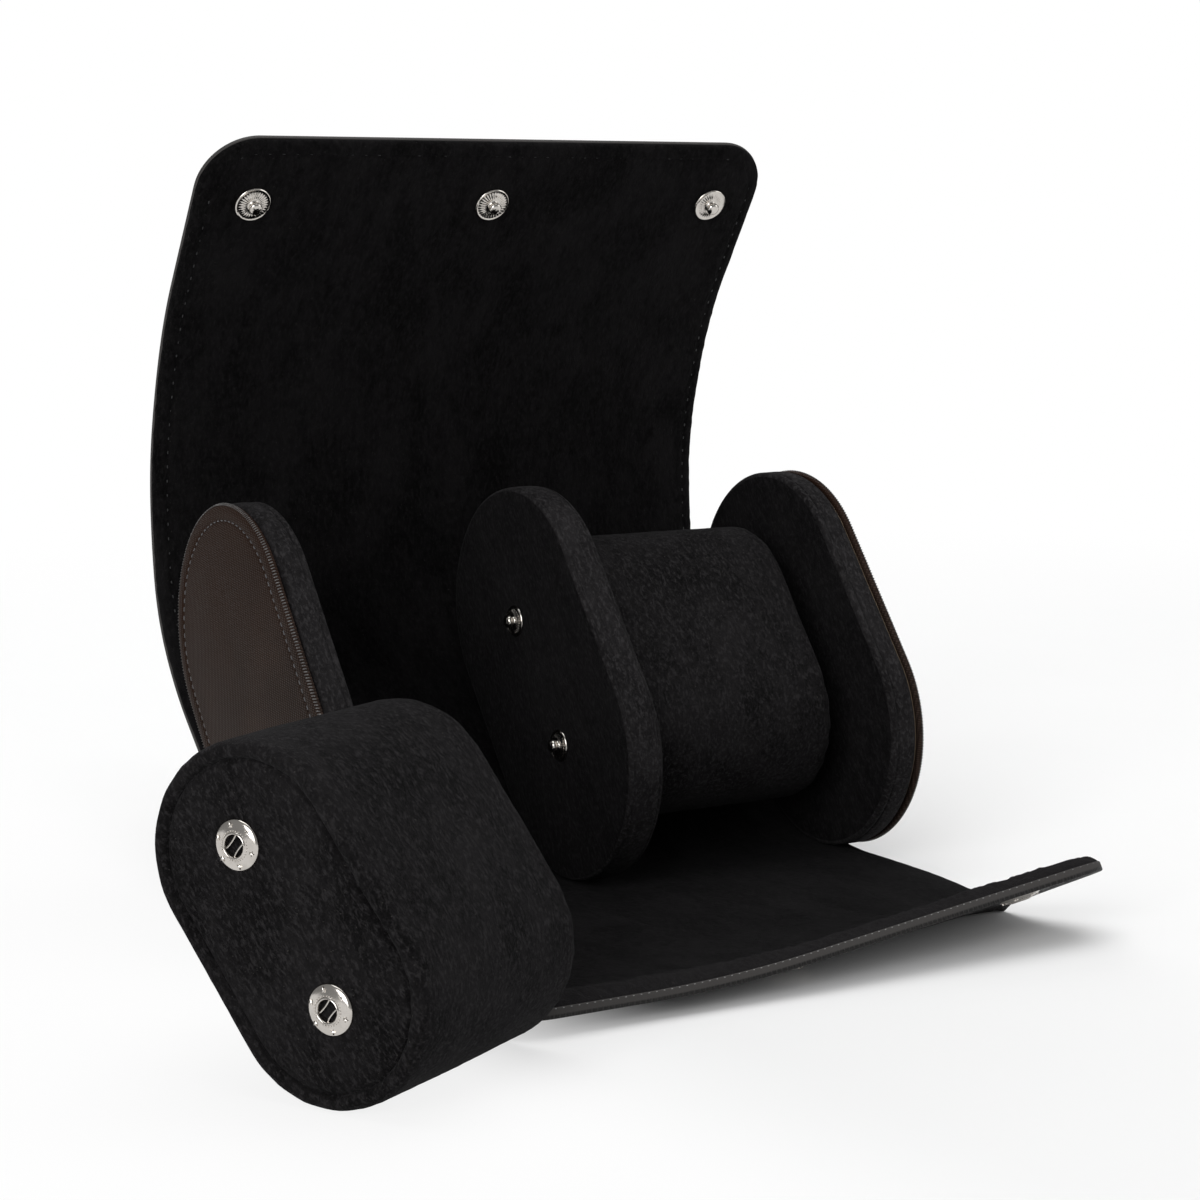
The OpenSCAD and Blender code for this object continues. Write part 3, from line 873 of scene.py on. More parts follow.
def saffiano(name, colour, rough=0.46, specular=0.22, pitches=(0.62, 0.62), turn=28.0, depth=0.6,
             edge=None, top=None):
    """Fine cross-hatched leather, pressed with two sets of slanting lines.

    edge gives the depths between which the hatch fades out on a sheet's cut edge and the colour turns
    3.6 times lighter there, a painted highlight, and top a colour of painted shade and painted warm
    reflection that the leather turns to towards its upper end.
    """
    f = Finish(name)
    lay = f.lay()
    bent = f.noise(lay, 2.2, 2.0, 0.5)
    x, y = f.axis(lay, 0) + bent * 0.22, f.axis(lay, 1) + bent * 0.22
    one = ((x * cosd(turn) + y * sind(turn)) * (2 * math.pi / pitches[0])).maths("SINE")
    two = ((x * -sind(turn) + y * cosd(turn)) * (2 * math.pi / pitches[1])).maths("SINE")
    hatch = (one * 0.5 + 0.5) * (two * 0.5 + 0.5)
    ridge = hatch ** 0.6
    if edge:
        outside = f.axis(lay, 2).step(*edge)
        ridge = ridge * outside
    fine = f.noise(lay, 0.22, 2.0, 0.6)
    broad = f.noise(lay, 18.0, 3.0, 0.5)
    tone = (broad * 0.5 + fine * 0.2 + ridge * 0.4).step(0.3, 0.95)
    base = f.blend(tone, shade(colour, 0.45), shade(colour, 1.7))
    # Painted highlight: the cut edge, above the depths in edge, is 3.6 times lighter
    if edge:
        base = f.blend(outside, shade(colour, 3.6), base)
    # Painted shade and a painted warm reflection: the leather turns darker and browner towards its
    # upper end
    if top:
        base = f.blend(f.axis(lay, 1).step(-15.0, 50.0) * 0.85, base, top)
    height = ridge + fine * 0.14
    normal = f.bump(height, depth, 0.14)
    worn = ((1 - ridge) * 0.16 + broad * 0.12 + (rough - 0.08)).clamped()
    return f.surface(Base_Color=base, Roughness=worn, Normal=normal, Specular_IOR_Level=specular)


def thread(name, colour):
    """Matt twisted thread."""
    f = Finish(name)
    place = f.object_mm()
    twist = f.noise(place, 0.35, 2.0, 0.6)
    base = f.blend(twist, shade(colour, 0.6), shade(colour, 1.4))
    return f.surface(Base_Color=base, Roughness=0.6, Normal=f.bump(twist, 0.5, 0.06), Sheen_Weight=0.1)


def nickel(name):
    """Polished plated metal with faint scratches and dulled patches."""
    f = Finish(name)
    place = f.object_mm()
    scratch = f.noise(f.stretched(place, (1.0, 1.0, 8.0), 20), 0.55, 4.0, 0.65)
    dull = f.noise(place, 2.4, 3.0, 0.5)
    base = f.blend(dull.step(0.4, 0.75) * 0.5, *NICKEL_COLOURS)
    worn = (scratch * 0.10 + dull * 0.14 + (NICKEL_ROUGH - 0.10)).clamped()
    return f.surface(Base_Color=base, Metallic=1.0, Roughness=worn, Normal=f.bump(scratch, 0.12, 0.02))


def board(name):
    """Stiff fibre board."""
    f = Finish(name)
    place = f.object_mm()
    fibre = f.noise(f.stretched(place, (0.3, 1.0, 1.0)), 0.9, 4.0, 0.6)
    base = f.blend(fibre, *BOARD_COLOURS)
    return f.surface(Base_Color=base, Roughness=0.85, Normal=f.bump(fibre, 0.3, 0.1))


def foam(name):
    """Soft open foam."""
    f = Finish(name)
    place = f.object_mm()
    cells = f.add("ShaderNodeTexVoronoi", {"feature": "F1"}, {"Vector": place, "Scale": 1.4})
    base = f.blend(cells, *FOAM_COLOURS)
    return f.surface(Base_Color=base, Roughness=0.95, Normal=f.bump(cells, 0.6, 0.3))


# ---------------------------------------------------------------- sizes and colours to change

class TravelCaseLook(bpy.types.PropertyGroup):
    suede_colour: bpy.props.FloatVectorProperty(
        name="Suede", description="Colour of the suede", subtype="COLOR",
        default=(0.0052, 0.0049, 0.0051), min=0, max=1)
    leather_colour: bpy.props.FloatVectorProperty(
        name="Leather", description="Colour of the cross-hatched leather", subtype="COLOR",
        default=(0.0110, 0.0102, 0.0098), min=0, max=1)
    # Partly the leather's own colour and partly a painted warm reflection, which makes it lighter and
    # warmer than the wrap's leather
    panel_leather_colour: bpy.props.FloatVectorProperty(
        name="Panel leather", description="Colour of the leather on the end panels", subtype="COLOR",
        default=(0.0300, 0.0195, 0.0150), min=0, max=1)
    thread_colour: bpy.props.FloatVectorProperty(
        name="Thread", description="Colour of the stitches", subtype="COLOR",
        default=(0.015, 0.015, 0.016), min=0, max=1)
    edge_thread_colour: bpy.props.FloatVectorProperty(
        name="Edge thread", description="Colour of the fine stitches at the front flap's edge",
        subtype="COLOR", default=(0.20, 0.20, 0.20), min=0, max=1)


class TravelCaseSizes(bpy.types.PropertyGroup):
    stitch_inset: bpy.props.FloatProperty(
        name="Stitch inset", description="Distance of the wrap's stitches from its edge",
        default=STITCH_INSET * MM, unit="LENGTH")
    stitch_pitch: bpy.props.FloatProperty(
        name="Stitch pitch", description="Spacing of the wrap's stitches",
        default=0.0037, unit="LENGTH")
    edge_pitch: bpy.props.FloatProperty(
        name="Edge stitch pitch", description="Spacing of the fine stitches at the front flap's edge",
        default=0.0019, unit="LENGTH")


MADE = {}


def finish_named(name):
    """One of the scene's finishes, which is made the first time it is asked for."""
    look = bpy.context.scene.travel_case_look
    if name not in MADE:
        makers = {
            # The suede pieces are lit and shaded copies of one colour: painted shade on the lining
            # (0.72) and the panel and divider faces (0.9), painted light on the cushions (1.2) and a
            # painted highlight on the rims (2.0)
            "lining_suede_painted_shade_and_sheen": lambda: suede(
                "lining_suede_painted_shade_and_sheen", shade(look.suede_colour, 0.72), contrast=0.6, spread=1.5, roll=True),
            "face_suede": lambda: suede("face_suede", shade(look.suede_colour, 0.9), nap_turn=20),
            "rim_suede_painted_light": lambda: suede("rim_suede_painted_light", shade(look.suede_colour, 2.0), nap_turn=60),
            "cushion_suede": lambda: suede(
                "cushion_suede", shade(look.suede_colour, 1.2), nap_turn=-15, contrast=1.3, spread=1.3),
            # Painted highlight: the ridges of the panels' turned edge are a copy of the leather 5.5
            # times lighter
            "ridge_leather_painted_highlight": lambda: saffiano(
                "ridge_leather_painted_highlight", shade(look.leather_colour, 5.5), rough=0.24, specular=0.7),
            # The wrap leather's cut edge carries a painted highlight
            "wrap_leather": lambda: saffiano(
                "wrap_leather", tuple(look.leather_colour), edge=(2.9, 3.4)),
            "panel_leather": lambda: saffiano(
                "panel_leather", tuple(look.panel_leather_colour), rough=0.44, specular=0.04,
                pitches=(0.95, 0.55), turn=45.0, depth=1.0,
                # Painted shade and a painted warm reflection towards the panels' upper end
                top=shade(look.panel_leather_colour, (0.60, 0.42, 0.30))),
            "lining_thread": lambda: thread("lining_thread", tuple(look.thread_colour)),
            "sole_thread": lambda: thread("sole_thread", tuple(look.thread_colour)),
            # Painted highlight: the panels' stitches are a copy of the thread colour 4.5 times lighter
            "panel_thread_painted_highlight": lambda: thread("panel_thread_painted_highlight", shade(look.thread_colour, 4.5)),
            "edge_thread": lambda: thread("edge_thread", tuple(look.edge_thread_colour)),
            "snap_nickel": lambda: nickel("snap_nickel"),
            "grey_board": lambda: board("grey_board"),
            "core_foam": lambda: foam("core_foam"),
        }
        MADE[name] = makers[name]()
    return MADE[name]


# ---------------------------------------------------------------- the pieces

def cad_nodes_of(kind, name):
    """The solids that one length of the wrap stands for."""
    if name == "base":
        return [f"wrap_base_{kind}"]
    if name == "front_5":
        return [f"front_{kind}_4", f"corner_{kind}"]
    side, number = name.split("_")
    if name == "front_4":
        return [f"front_{kind}_4"]
    return [f"{side}_{kind}_{number}"]


class TravelCaseWrapLeather(bpy.types.Operator):
    """Make the leather outside of the wrap, one sheet in lengths, rounded where it turns at the hinges
    """
    bl_idname = "travel_case.wrap_leather"
    bl_label = "Wrap leather"

    def execute(self, context):
        sizes = context.scene.travel_case_sizes
        leather, stitch = finish_named("wrap_leather"), finish_named("sole_thread")
        for name, body, after, _ in LENGTHS:
            x, s = wrap_grid(name)
            top, bottom = leather_faces(x, s)
            obj = wrap_sheet(f"wrap_leather_{name}", x, s, top, bottom, [leather])
            stitches = wrap_stitches(
                name, sizes.stitch_inset / MM, sizes.stitch_pitch / MM, *SOLE_STITCH,
                lambda a, b: leather_faces(a, b)[1] + 0.06, stitch)
            for piece in (obj, stitches):
                if piece:
                    attach_length(piece, name, body, after)
            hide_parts(*cad_nodes_of("leather", name))
            start, end = SPANS[name]
            area = float((2 * half_width(np.linspace(start, end, 60))).mean() * (end - start)) * MM * MM
            max(end - start, 10.0) * MM
        return {"FINISHED"}


class TravelCaseWrapLining(bpy.types.Operator):
    """Make the padded suede lining of the wrap, with its rolled and stitched edges"""
    bl_idname = "travel_case.wrap_lining"
    bl_label = "Wrap lining"

    def execute(self, context):
        sizes = context.scene.travel_case_sizes
        nap, stitch, fine = (finish_named(n) for n in ("lining_suede_painted_shade_and_sheen", "lining_thread", "edge_thread"))
        for name, body, after, _ in LENGTHS:
            x, s = wrap_grid(name, LINING_TRIM, FINE_LINES if name == "front_5" else LINES)
            face = lining_face(x, s, LINING_TRIM)
            under = np.full_like(face, LINING_T)
            obj = wrap_sheet(f"wrap_lining_{name}", x, s, face, under, [nap], RAGGED)
            pieces = [obj]
            pieces.append(wrap_stitches(
                name, sizes.stitch_inset / MM, sizes.stitch_pitch / MM, *LINING_STITCH,
                lambda a, b: lining_face(a, b, LINING_TRIM) - 0.02 + 0.14 * (b > LINE_END - CORNER_R),
                stitch, uneven=0.4, keep=lambda a, b: b > BASE_S[1]))
            pieces.append(wrap_stitches(
                name, EDGE_INSET, sizes.edge_pitch / MM, *EDGE_STITCH,
                lambda a, b: np.full_like(a, LINING_T - 0.42), fine,
                keep=lambda a, b: b < BASE_S[0] - 10))
            for piece in pieces:
                if piece:
                    attach_length(piece, name, body, after)
            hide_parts(*cad_nodes_of("lining", name))
        return {"FINISHED"}


def panel_swell(amount, seed):
    """Soft waves of a height over a panel's faces, with nap."""
    def swell(verts):
        n = grain(verts.reshape(-1, 3), 9.0, seed).reshape(verts.shape[:2])
        m = grain(verts.reshape(-1, 3), 1.3, seed + 1).reshape(verts.shape[:2])
        out = verts.copy()
        out[..., 0] += amount * n + 0.03 * m
        return out
    return swell


# The sections of an end panel's leather and suede: (distance in from the outline, depth from the
# panel's outside)
LEATHER_PROFILE = [
    (32.0, -0.95), (24, -0.9), (16, -0.68), (9, -0.32), (6, -0.14), (4.9, -0.02), (4.5, 0.1),
    (4.15, 0.24), (3.8, 0.1), (3.3, -0.1), (2.3, -0.16), (1.5, -0.1), (0.8, 0.05), (0.35, 0.24),
    (0.12, 0.5), (0.05, 0.9), (0.12, 1.35), (0.4, 1.68), (0.9, 1.8), (1.9, 1.82)]
SUEDE_PROFILE = [
    (2.3, 1.78), (1.7, 1.9), (1.0, 2.3), (0.4, 2.9), (0.14, 3.6), (0.05, 5.4), (0.12, 7.3),
    (0.3, 7.8), (0.5, 8.0), (0.3, 8.2), (0.1, 8.7), (0.2, 9.3), (0.7, 9.78), (1.6, 9.96),
    (2.8, 10.0), (6, 10.02), (14, 10.06), (32.0, 10.1)]


# The panels' row of stitches and the ridges of their turned edge
ROW_INSET, ROW_PITCH, ROW_DEPTH, ROW_STITCH, ROW_RADIUS = 4.15, 2.2, 0.17, 1.25, 0.17
RIDGE_PITCH, RIDGE_RISE, RIDGE_LENGTH, RIDGE_RADIUS = 0.80, 0.17, 1.05, 0.19
RIDGE_ENDS = ((0.62, 0.06), (0.04, 1.0))  # (distance in from the outline, depth) of a ridge's ends
RIDGE_TILT = 20.0


class TravelCaseEndPanels(bpy.types.Operator):
    """Make the two end panels: leather outside, suede rim and inside face"""
    bl_idname = "travel_case.end_panels"
    bl_label = "End panels"

    def execute(self, context):
        leather, face, rim, stitch, ridge = (finish_named(n) for n in (
            "panel_leather", "face_suede", "rim_suede_painted_light", "panel_thread_painted_highlight", "ridge_leather_painted_highlight"))
        for side, out in (("left", 1.0), ("right", -1.0)):
            origin = (-out * CASE_L / 2, 0.0)
            for part, profile, materials in (
                    ("leather", LEATHER_PROFILE, [leather]), ("suede", SUEDE_PROFILE, [face, rim])):
                line = curve_profile(profile)
                flat, faces = stadium_mesh(PANEL_R, PANEL_S, line, panel_swell(0.05, 2))
                slots = rim_slots(line, faces, rim=1.4) if part == "suede" else 0
                if out < 0:
                    faces = [tuple(reversed(f)) for f in faces]
                maker = Maker()
                placed = placed_stadium(flat, MID, LEAN, out, 0, origin)
                maker.add(placed, faces, flat[:, [1, 2, 0]], slots)
                obj = maker.finish(f"{side}_end_{part}_cover", materials)
                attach(obj, "case")
                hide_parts(f"{side}_end_{part}")
                "outer_leather" if part == "leather" else "suede"
                part == "suede"
            for add, name, material in (
                    (self.add_row, "stitches", stitch), (self.add_ridges, "edge_grain", ridge)):
                maker = Maker()
                add(maker, out, origin)
                obj = maker.finish(f"{side}_end_{name}", [material])
                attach(obj, "case")
        return {"FINISHED"}

    def walk(self, inset):
        """The closed line at an inset from a panel's outline, and the lengths along it."""
        loop = stadium_loop(PANEL_R - inset, PANEL_S, 88, 44)
        closed = np.concatenate([loop, loop[:1]])
        return closed, lengths_along(closed)

    def add_ridges(self, maker, out, origin):
        """The leather's pressed grain, drawn up into short ridges where it turns the panel's edge."""
        walks = [(*self.walk(inset), t) for inset, t in RIDGE_ENDS]
        n = int(walks[-1][1][-1] / RIDGE_PITCH)
        for k in range(n):
            part = (k + 0.5) / n
            ends = []
            for line, lengths, t in walks:
                pq = [np.interp(part * lengths[-1], lengths, line[:, i]) for i in (0, 1)]
                ends.append(placed_stadium(np.array([t, *pq]), MID, LEAN, out, 0, origin))
            middle = (ends[0] + ends[1]) / 2
            away = placed_stadium(np.array([0.0, *pq]), MID, LEAN, out, 0, origin)
            away = unit(away - np.array([away[0], *MID]) + np.array([-out * RIDGE_TILT, 0, 0]))
            at = middle + RIDGE_RISE * away
            add_stitch(maker, at, ends[1] - ends[0], away, RIDGE_LENGTH, RIDGE_RADIUS)

    def add_row(self, maker, out, origin):
        """The row of stitches that lies in the groove of a panel's leather."""
        closed, length = self.walk(ROW_INSET)
        n = int(length[-1] / ROW_PITCH)
        for k in range(n):
            at = (k + 0.5) * length[-1] / n
            a, b = (placed_stadium(
                np.array([ROW_DEPTH, *(np.interp(place, length, closed[:, i]) for i in (0, 1))]),
                MID, LEAN, out, 0, origin) for place in (at, at + 0.4))
            add_stitch(maker, a, b - a, np.array([-out, 0, 0]), ROW_STITCH, ROW_RADIUS)


# Half of the divider's section: (distance in from the outline, distance from the divider's middle)
DIVIDER_PROFILE = [
    (32.0, -5.06), (14, -5.04), (6, -5.02), (2.6, -5.0), (1.5, -4.95), (0.8, -4.7), (0.42, -4.2),
    (0.36, -3.85), (0.5, -3.65), (0.36, -3.45), (0.16, -2.9), (0.06, -1.5), (0.04, 0.0)]


class TravelCaseDivider(bpy.types.Operator):
    """Make the suede divider with a seam near each edge of its rim"""
    bl_idname = "travel_case.divider"
    bl_label = "Divider"

    def execute(self, context):
        line = mirrored(curve_profile(DIVIDER_PROFILE))
        flat, faces = stadium_mesh(PANEL_R, PANEL_S, line, panel_swell(0.06, 1))
        maker = Maker()
        slots = rim_slots(line, faces, rim=1.2)
        maker.add(placed_stadium(flat, MID, LEAN), faces, flat[:, [1, 2, 0]], slots)
        obj = maker.finish("divider_cover", [finish_named("face_suede"), finish_named("rim_suede_painted_light")])
        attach(obj, "case")
        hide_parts("divider_left_face", "divider_right_face", "divider_rim")
        return {"FINISHED"}


# Half of a cushion's section: (distance in from the outline, distance from its end face)
CUSHION_PROFILE = [
    (23.0, 0.0), (14, 0.0), (8, 0.02), (5.2, 0.1), (4.3, 0.32), (3.85, 0.7), (3.6, 0.92), (3.4, 0.62),
    (3.0, 0.05), (2.2, -0.32), (1.3, -0.2), (0.55, 0.45), (0.15, 1.5), (0.0, 3.0), (-0.05, 8.0),
    (-0.1, 20.0), (-0.12, 28.0)]


def cushion_swell(seed):
    """Soft waves over a cushion, and pleats where its sleeve is drawn round the ends' edges."""
    def swell(verts):
        points = verts.reshape(-1, 3)
        soft = grain(points, 10.0, seed).reshape(verts.shape[:2])
        small = grain(points, 1.5, seed + 1).reshape(verts.shape[:2])
        fine = grain(points, 0.8, seed + 2).reshape(verts.shape[:2])
        loop = stadium_loop(CUSHION_R, CUSHION_S)
        round_s = lengths_along(np.concatenate([loop, loop[:1]]))[:-1]
        bent = smooth((np.abs(loop[:, 1]) - CUSHION_S / 2) / 6)
        pleat = np.sin(round_s * 2 * np.pi / 2.1 + 2.5 * np.sin(round_s / 7.0)) * bent
        t = verts[..., 0]
        near = np.exp(-((t + 0.2) / 1.6) ** 2) + np.exp(-((CUSHION_W - t + 0.2) / 1.6) ** 2)
        out = loop_outward(CUSHION_R, CUSHION_S)[None]
        amount = 0.12 * soft + 0.05 * small + 0.04 * fine + 0.13 * pleat[None] * near
        edge = smooth((np.hypot(verts[..., 1], np.abs(verts[..., 2]).clip(0)) - 2) / 8)
        result = verts.copy()
        result[..., 1:] += out * (amount * edge)[..., None]
        face = np.exp(-(t / 1.5) ** 2) + np.exp(-((CUSHION_W - t) / 1.5) ** 2)
        result[..., 0] += (0.10 * soft + 0.04 * small + 0.10 * pleat[None] * near) * face * edge
        return result
    return swell


CUSHIONS = {
    "seated": dict(lean=LEAN, turn=0.0, origin=(SEATED_X, 0.0), centre=MID),
    "loose": dict(lean=LOOSE_LEAN, turn=LOOSE_TURN, origin=LOOSE_AT,
                  centre=np.array([0.0, CUSHION_R + CUSHION_S / 2 * cosd(LOOSE_LEAN)])),
}


def cushion_placed(flat, place):
    """A cushion's (t, p, q) points set in the row frame."""
    return placed_stadium(flat, place["centre"], place["lean"], 1.0, place["turn"], place["origin"])


class TravelCaseCushions(bpy.types.Operator):
    """Make the two suede cushions with a rolled edge round each end face"""
    bl_idname = "travel_case.cushions"
    bl_label = "Cushions"

    def execute(self, context):
        for index, (which, place) in enumerate(CUSHIONS.items()):
            line = mirrored(curve_profile(CUSHION_PROFILE), CUSHION_W)
            flat, faces = stadium_mesh(CUSHION_R, CUSHION_S, line, cushion_swell(index))
            push = puffed(flat, CUSHION_R - 0.5, CUSHION_S, (0.5, CUSHION_W - 0.5))
            flat = flat + push * PUFF_SHARES
            maker = Maker()
            maker.add(cushion_placed(flat, place), faces, flat[:, [1, 2, 0]])
            obj = maker.finish(f"{which}_cushion_cover", [finish_named("cushion_suede")])
            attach(obj, f"{which}_cushion")
            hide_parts(f"{which}_sleeve", f"{which}_socket_face", f"{which}_plain_face")
        return {"FINISHED"}


# ---------------------------------------------------------------- press studs and sockets

def lathe(profile, sides=64, wave=None):
    """A turned shape from (radius, height) points, about the Z axis."""
    turn = 2 * np.pi * np.arange(sides) / sides
    verts = []
    for radius, height in profile:
        r = np.full(sides, float(radius))
        h = np.full(sides, float(height))
        if wave:
            r, h = wave(r, h, turn)
        verts.append(np.stack([r * np.cos(turn), r * np.sin(turn), h], -1))
    count = len(profile)
    faces = grid_faces(count, sides, closed=True)
    faces.append(tuple(reversed(range(sides))))
    faces.append(tuple((count - 1) * sides + k for k in range(sides)))
    return np.concatenate(verts), faces


def ball(radius, at, rings, sides):
    """A small ball."""
    turns = [math.pi * (k + 0.5) / rings for k in range(rings)]
    profile = [(radius * math.sin(turn), -radius * math.cos(turn)) for turn in turns]
    verts, faces = lathe(profile, sides)
    return verts + np.array(at), faces


def star(radius, at, turn, height):
    """A small raised star."""
    ring = []
    for k in range(10):
        r = radius if k % 2 == 0 else radius * 0.45
        a = turn + math.pi * k / 5
        ring.append((r * math.cos(a), r * math.sin(a)))
    low = [(x, y, -0.3) for x, y in ring]
    high = [(0.8 * x, 0.8 * y, height * 0.6) for x, y in ring]
    verts = np.array(low + high + [(0, 0, height)]) + np.array(at)
    faces = grid_faces(2, 10, closed=True)
    faces += [(10 + k, 10 + (k + 1) % 10, 20) for k in range(10)]
    faces.append(tuple(reversed(range(10))))
    return verts, faces


def rod(points, radius, sides=8):
    """A round wire along points."""
    points = np.array(points, float)
    turn = 2 * np.pi * np.arange(sides) / sides
    rings = []
    for p, d in zip(points, np.gradient(points, axis=0)):
        side = unit(np.cross(unit(d), (0.0, 0.0, 1.0)))
        other = np.cross(side, unit(d))
        rings.append(p + radius * (np.cos(turn)[:, None] * side + np.sin(turn)[:, None] * other))
    faces = grid_faces(len(points), sides, closed=True)
    faces.append(tuple(reversed(range(sides))))
    faces.append(tuple((len(points) - 1) * sides + k for k in range(sides)))
    return np.concatenate(rings), faces


# How far the sockets under the front flap are pressed into the leather
SUNK = 0.6

# The rings of dots and stars on a socket: how many, at what radius and height, and their size
DOTS, DOT_RING, DOT_UP, DOT_RADIUS = 30, 2.98, 1.38, 0.17
STARS, STAR_RING, STAR_UP, STAR_RADIUS = 6, 4.05, 1.13, 0.72

# The turned sections: (radius, height), and for a stud's flange (distance in from its edge, height)
SOCKET_PROFILE = [
    (0.3, -0.9), (2.1, -0.9), (2.2, -0.5), (2.18, 0.9), (2.2, 1.4), (2.3, 1.6), (2.46, 1.68),
    (2.62, 1.6), (2.74, 1.42), (3.1, 1.34), (3.8, 1.2), (4.4, 1.04), (4.85, 0.84), (5.08, 0.6),
    (5.18, 0.3), (5.18, 0.0), (5.0, -0.15), (4.2, -0.2), (0.3, -0.98)]
FLANGE_PROFILE = [
    (0.5, -0.35), (0.05, 0.05), (0.0, 0.3), (0.1, 0.5), (0.32, 0.62), (0.6, 0.52), (0.85, 0.5),
    (1.3, 0.58), (1.9, 0.70)]
TOWER_PROFILE = [
    (2.1, 0.78), (1.7, 0.84), (1.42, 1.0), (1.3, 1.3), (1.34, 1.5), (1.55, 1.75), (1.68, 2.05),
    (1.66, 2.4), (1.45, 2.75), (1.05, 3.0), (0.5, 3.1), (0.12, 3.12)]


def socket_parts():
    """The parts of a press socket that stands on the plane z = 0."""
    parts = [lathe(SOCKET_PROFILE, sides=72)]
    for k in range(DOTS):
        a = 2 * math.pi * k / DOTS
        at = (DOT_RING * math.cos(a), DOT_RING * math.sin(a), DOT_UP)
        parts.append(ball(DOT_RADIUS, at, rings=5, sides=8))
    for k in range(STARS):
        a = 2 * math.pi * k / STARS + 0.4
        at = (STAR_RING * math.cos(a), STAR_RING * math.sin(a), STAR_UP)
        parts.append(star(STAR_RADIUS, at, a, height=0.34))
    for side in (-1, 1):
        turns = np.linspace(-1.4, 1.4, 11)
        bow = [(side * (1.35 - 0.35 * math.cos(t)), 2.05 * math.sin(t), 0.95) for t in turns]
        parts.append(rod(bow, 0.2))
    return parts


def stud_parts(flange, flutes=30):
    """The parts of a press stud, with a fluted flange, that stands on the plane z = 0."""
    def wave(r, h, turn):
        part = np.clip((r - 1.9) / 0.5, 0, 1) * np.clip((flange - 0.75 - r) / 0.4, 0, 1)
        return r, h + 0.10 * part * np.cos(flutes * turn)
    edge = [(flange - inset, height) for inset, height in FLANGE_PROFILE]
    return [lathe([(0.4, -0.5)] + edge + TOWER_PROFILE, sides=120, wave=wave)]


def set_on(parts, at, z_axis, x_axis):
    """The parts with their Z axis along z_axis, at a point in the row frame."""
    z_axis = unit(np.array(z_axis, float))
    x_axis = np.array(x_axis, float)
    x_axis = unit(x_axis - (x_axis @ z_axis) * z_axis)
    turn = np.stack([x_axis, np.cross(z_axis, x_axis), z_axis])
    return [(verts @ turn + at, faces) for verts, faces in parts]


def snap_object(name, body, node, placed):
    """One piece from the placed parts of its studs or sockets."""
    maker = Maker()
    for parts in placed:
        for verts, faces in parts:
            maker.add(verts, faces)
    obj = maker.finish(name, [finish_named("snap_nickel")], sharp_angle=40)
    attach(obj, body)
    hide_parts(node)


# The two snap places (t, p, q) on a cushion's face, and p and q of those on the divider's faces
PAIR = [np.array([0.0, 0.0, side * PAIR_PITCH / 2]) for side in (-1, 1)]


class TravelCaseSnaps(bpy.types.Operator):
    """Make the press studs and the press sockets"""
    bl_idname = "travel_case.snaps"
    bl_label = "Studs and sockets"

    def execute(self, context):
        normal = np.array([0.0, -TOP_DIR[1], TOP_DIR[0]])
        placed = []
        for k in (-1, 0, 1):
            at = TOP_HINGES[-1] + (TOP_LAST - STUD_INSET) * TOP_DIR
            place = np.array([k * STUD_PITCH, *at])
            placed.append(set_on(stud_parts(flange=4.7), place, normal, (1, 0, 0)))
        snap_object("top_flap_studs", f"top_{TOP_COUNT}", "top_studs", placed)

        down = np.array([0.0, -sind(FRONT_RISE), -cosd(FRONT_RISE)])
        at = FRONT_HINGES[3] + (FRONT_LAST - SOCKET_INSET) * FRONT_DIR
        seats = {k: np.array([k * STUD_PITCH, *at]) + down * (WRAP_T - SUNK) for k in (-1, 0, 1)}
        placed = [set_on(socket_parts(), seats[k], down, (1, 0, 0)) for k in (-1, 0)]
        snap_object("front_flap_sockets", "front_4", "front_sockets", placed)
        seat = lifted_corner(seats[1][None], np.array([WRAP_T - SUNK]))[0]
        tip = lifted_corner((seats[1] + down)[None], np.array([WRAP_T - SUNK + 1]))[0]
        snap_object("corner_flap_socket", "front_corner", "corner_socket",
                    [set_on(socket_parts(), seat, tip - seat, (1, 0, 0))])

        for side, face in (("left", -1), ("right", 1)):
            placed = []
            for spot in PAIR:
                at = placed_stadium(np.array([face * DIVIDER_T / 2, spot[1], spot[2]]), MID, LEAN)
                parts = stud_parts(flange=4.1, flutes=26)
                placed.append(set_on(parts, at, (face, 0, 0), (0, 0, 1)))
            snap_object(f"divider_{side}_press_studs", "case", f"divider_{side}_studs", placed)

        for which, place in CUSHIONS.items():
            placed = []
            out = np.array([-cosd(place["turn"]), -sind(place["turn"]), 0.0])
            for spot in PAIR:
                placed.append(set_on(socket_parts(), cushion_placed(spot, place), out, (0, 1, 0.7)))
            snap_object(f"{which}_cushion_sockets", f"{which}_cushion", f"{which}_sockets", placed)
        return {"FINISHED"}


class TravelCaseCores(bpy.types.Operator):
    """Give the boards and foams inside the panels and cushions their finishes"""
    bl_idname = "travel_case.cores"
    bl_label = "Boards and foams"

    def execute(self, context):
        for name, node in frame["nodes"].items():
            inside = "grey_board" if name.endswith("board") else "core_foam"
            if name.endswith(("board", "foam", "pad")):
                node.data.materials.clear()
                node.data.materials.append(finish_named(inside))
        return {"FINISHED"}


# ---------------------------------------------------------------- the stage

# The camera that matches the photograph's view
CAMERA_AT = (-0.34796, -0.58850, 0.17020)
CAMERA_PITCH, CAMERA_YAW = 82.022, 31.014
CAMERA_LENS = 83.087

# Each light's name, place, aim, size in metres and power in watts
LIGHTS = (
    ("overhead", (0.1, 0.15, 1.3), (0, 0, 0), 1.3, 12),
    ("left_front", (-1.25, -0.95, 0.62), (0, 0, 0.07), 1.0, 15),
    ("right_front", (1.3, -0.8, 0.7), (0, 0, 0.07), 1.0, 5),
    ("behind", (0.45, 1.4, 0.8), (0, 0, 0.1), 1.0, 7),
)
SOFT_LIGHT = 0.30
FLOOR_SIZE = 6.0  # half of the floor's side, in metres


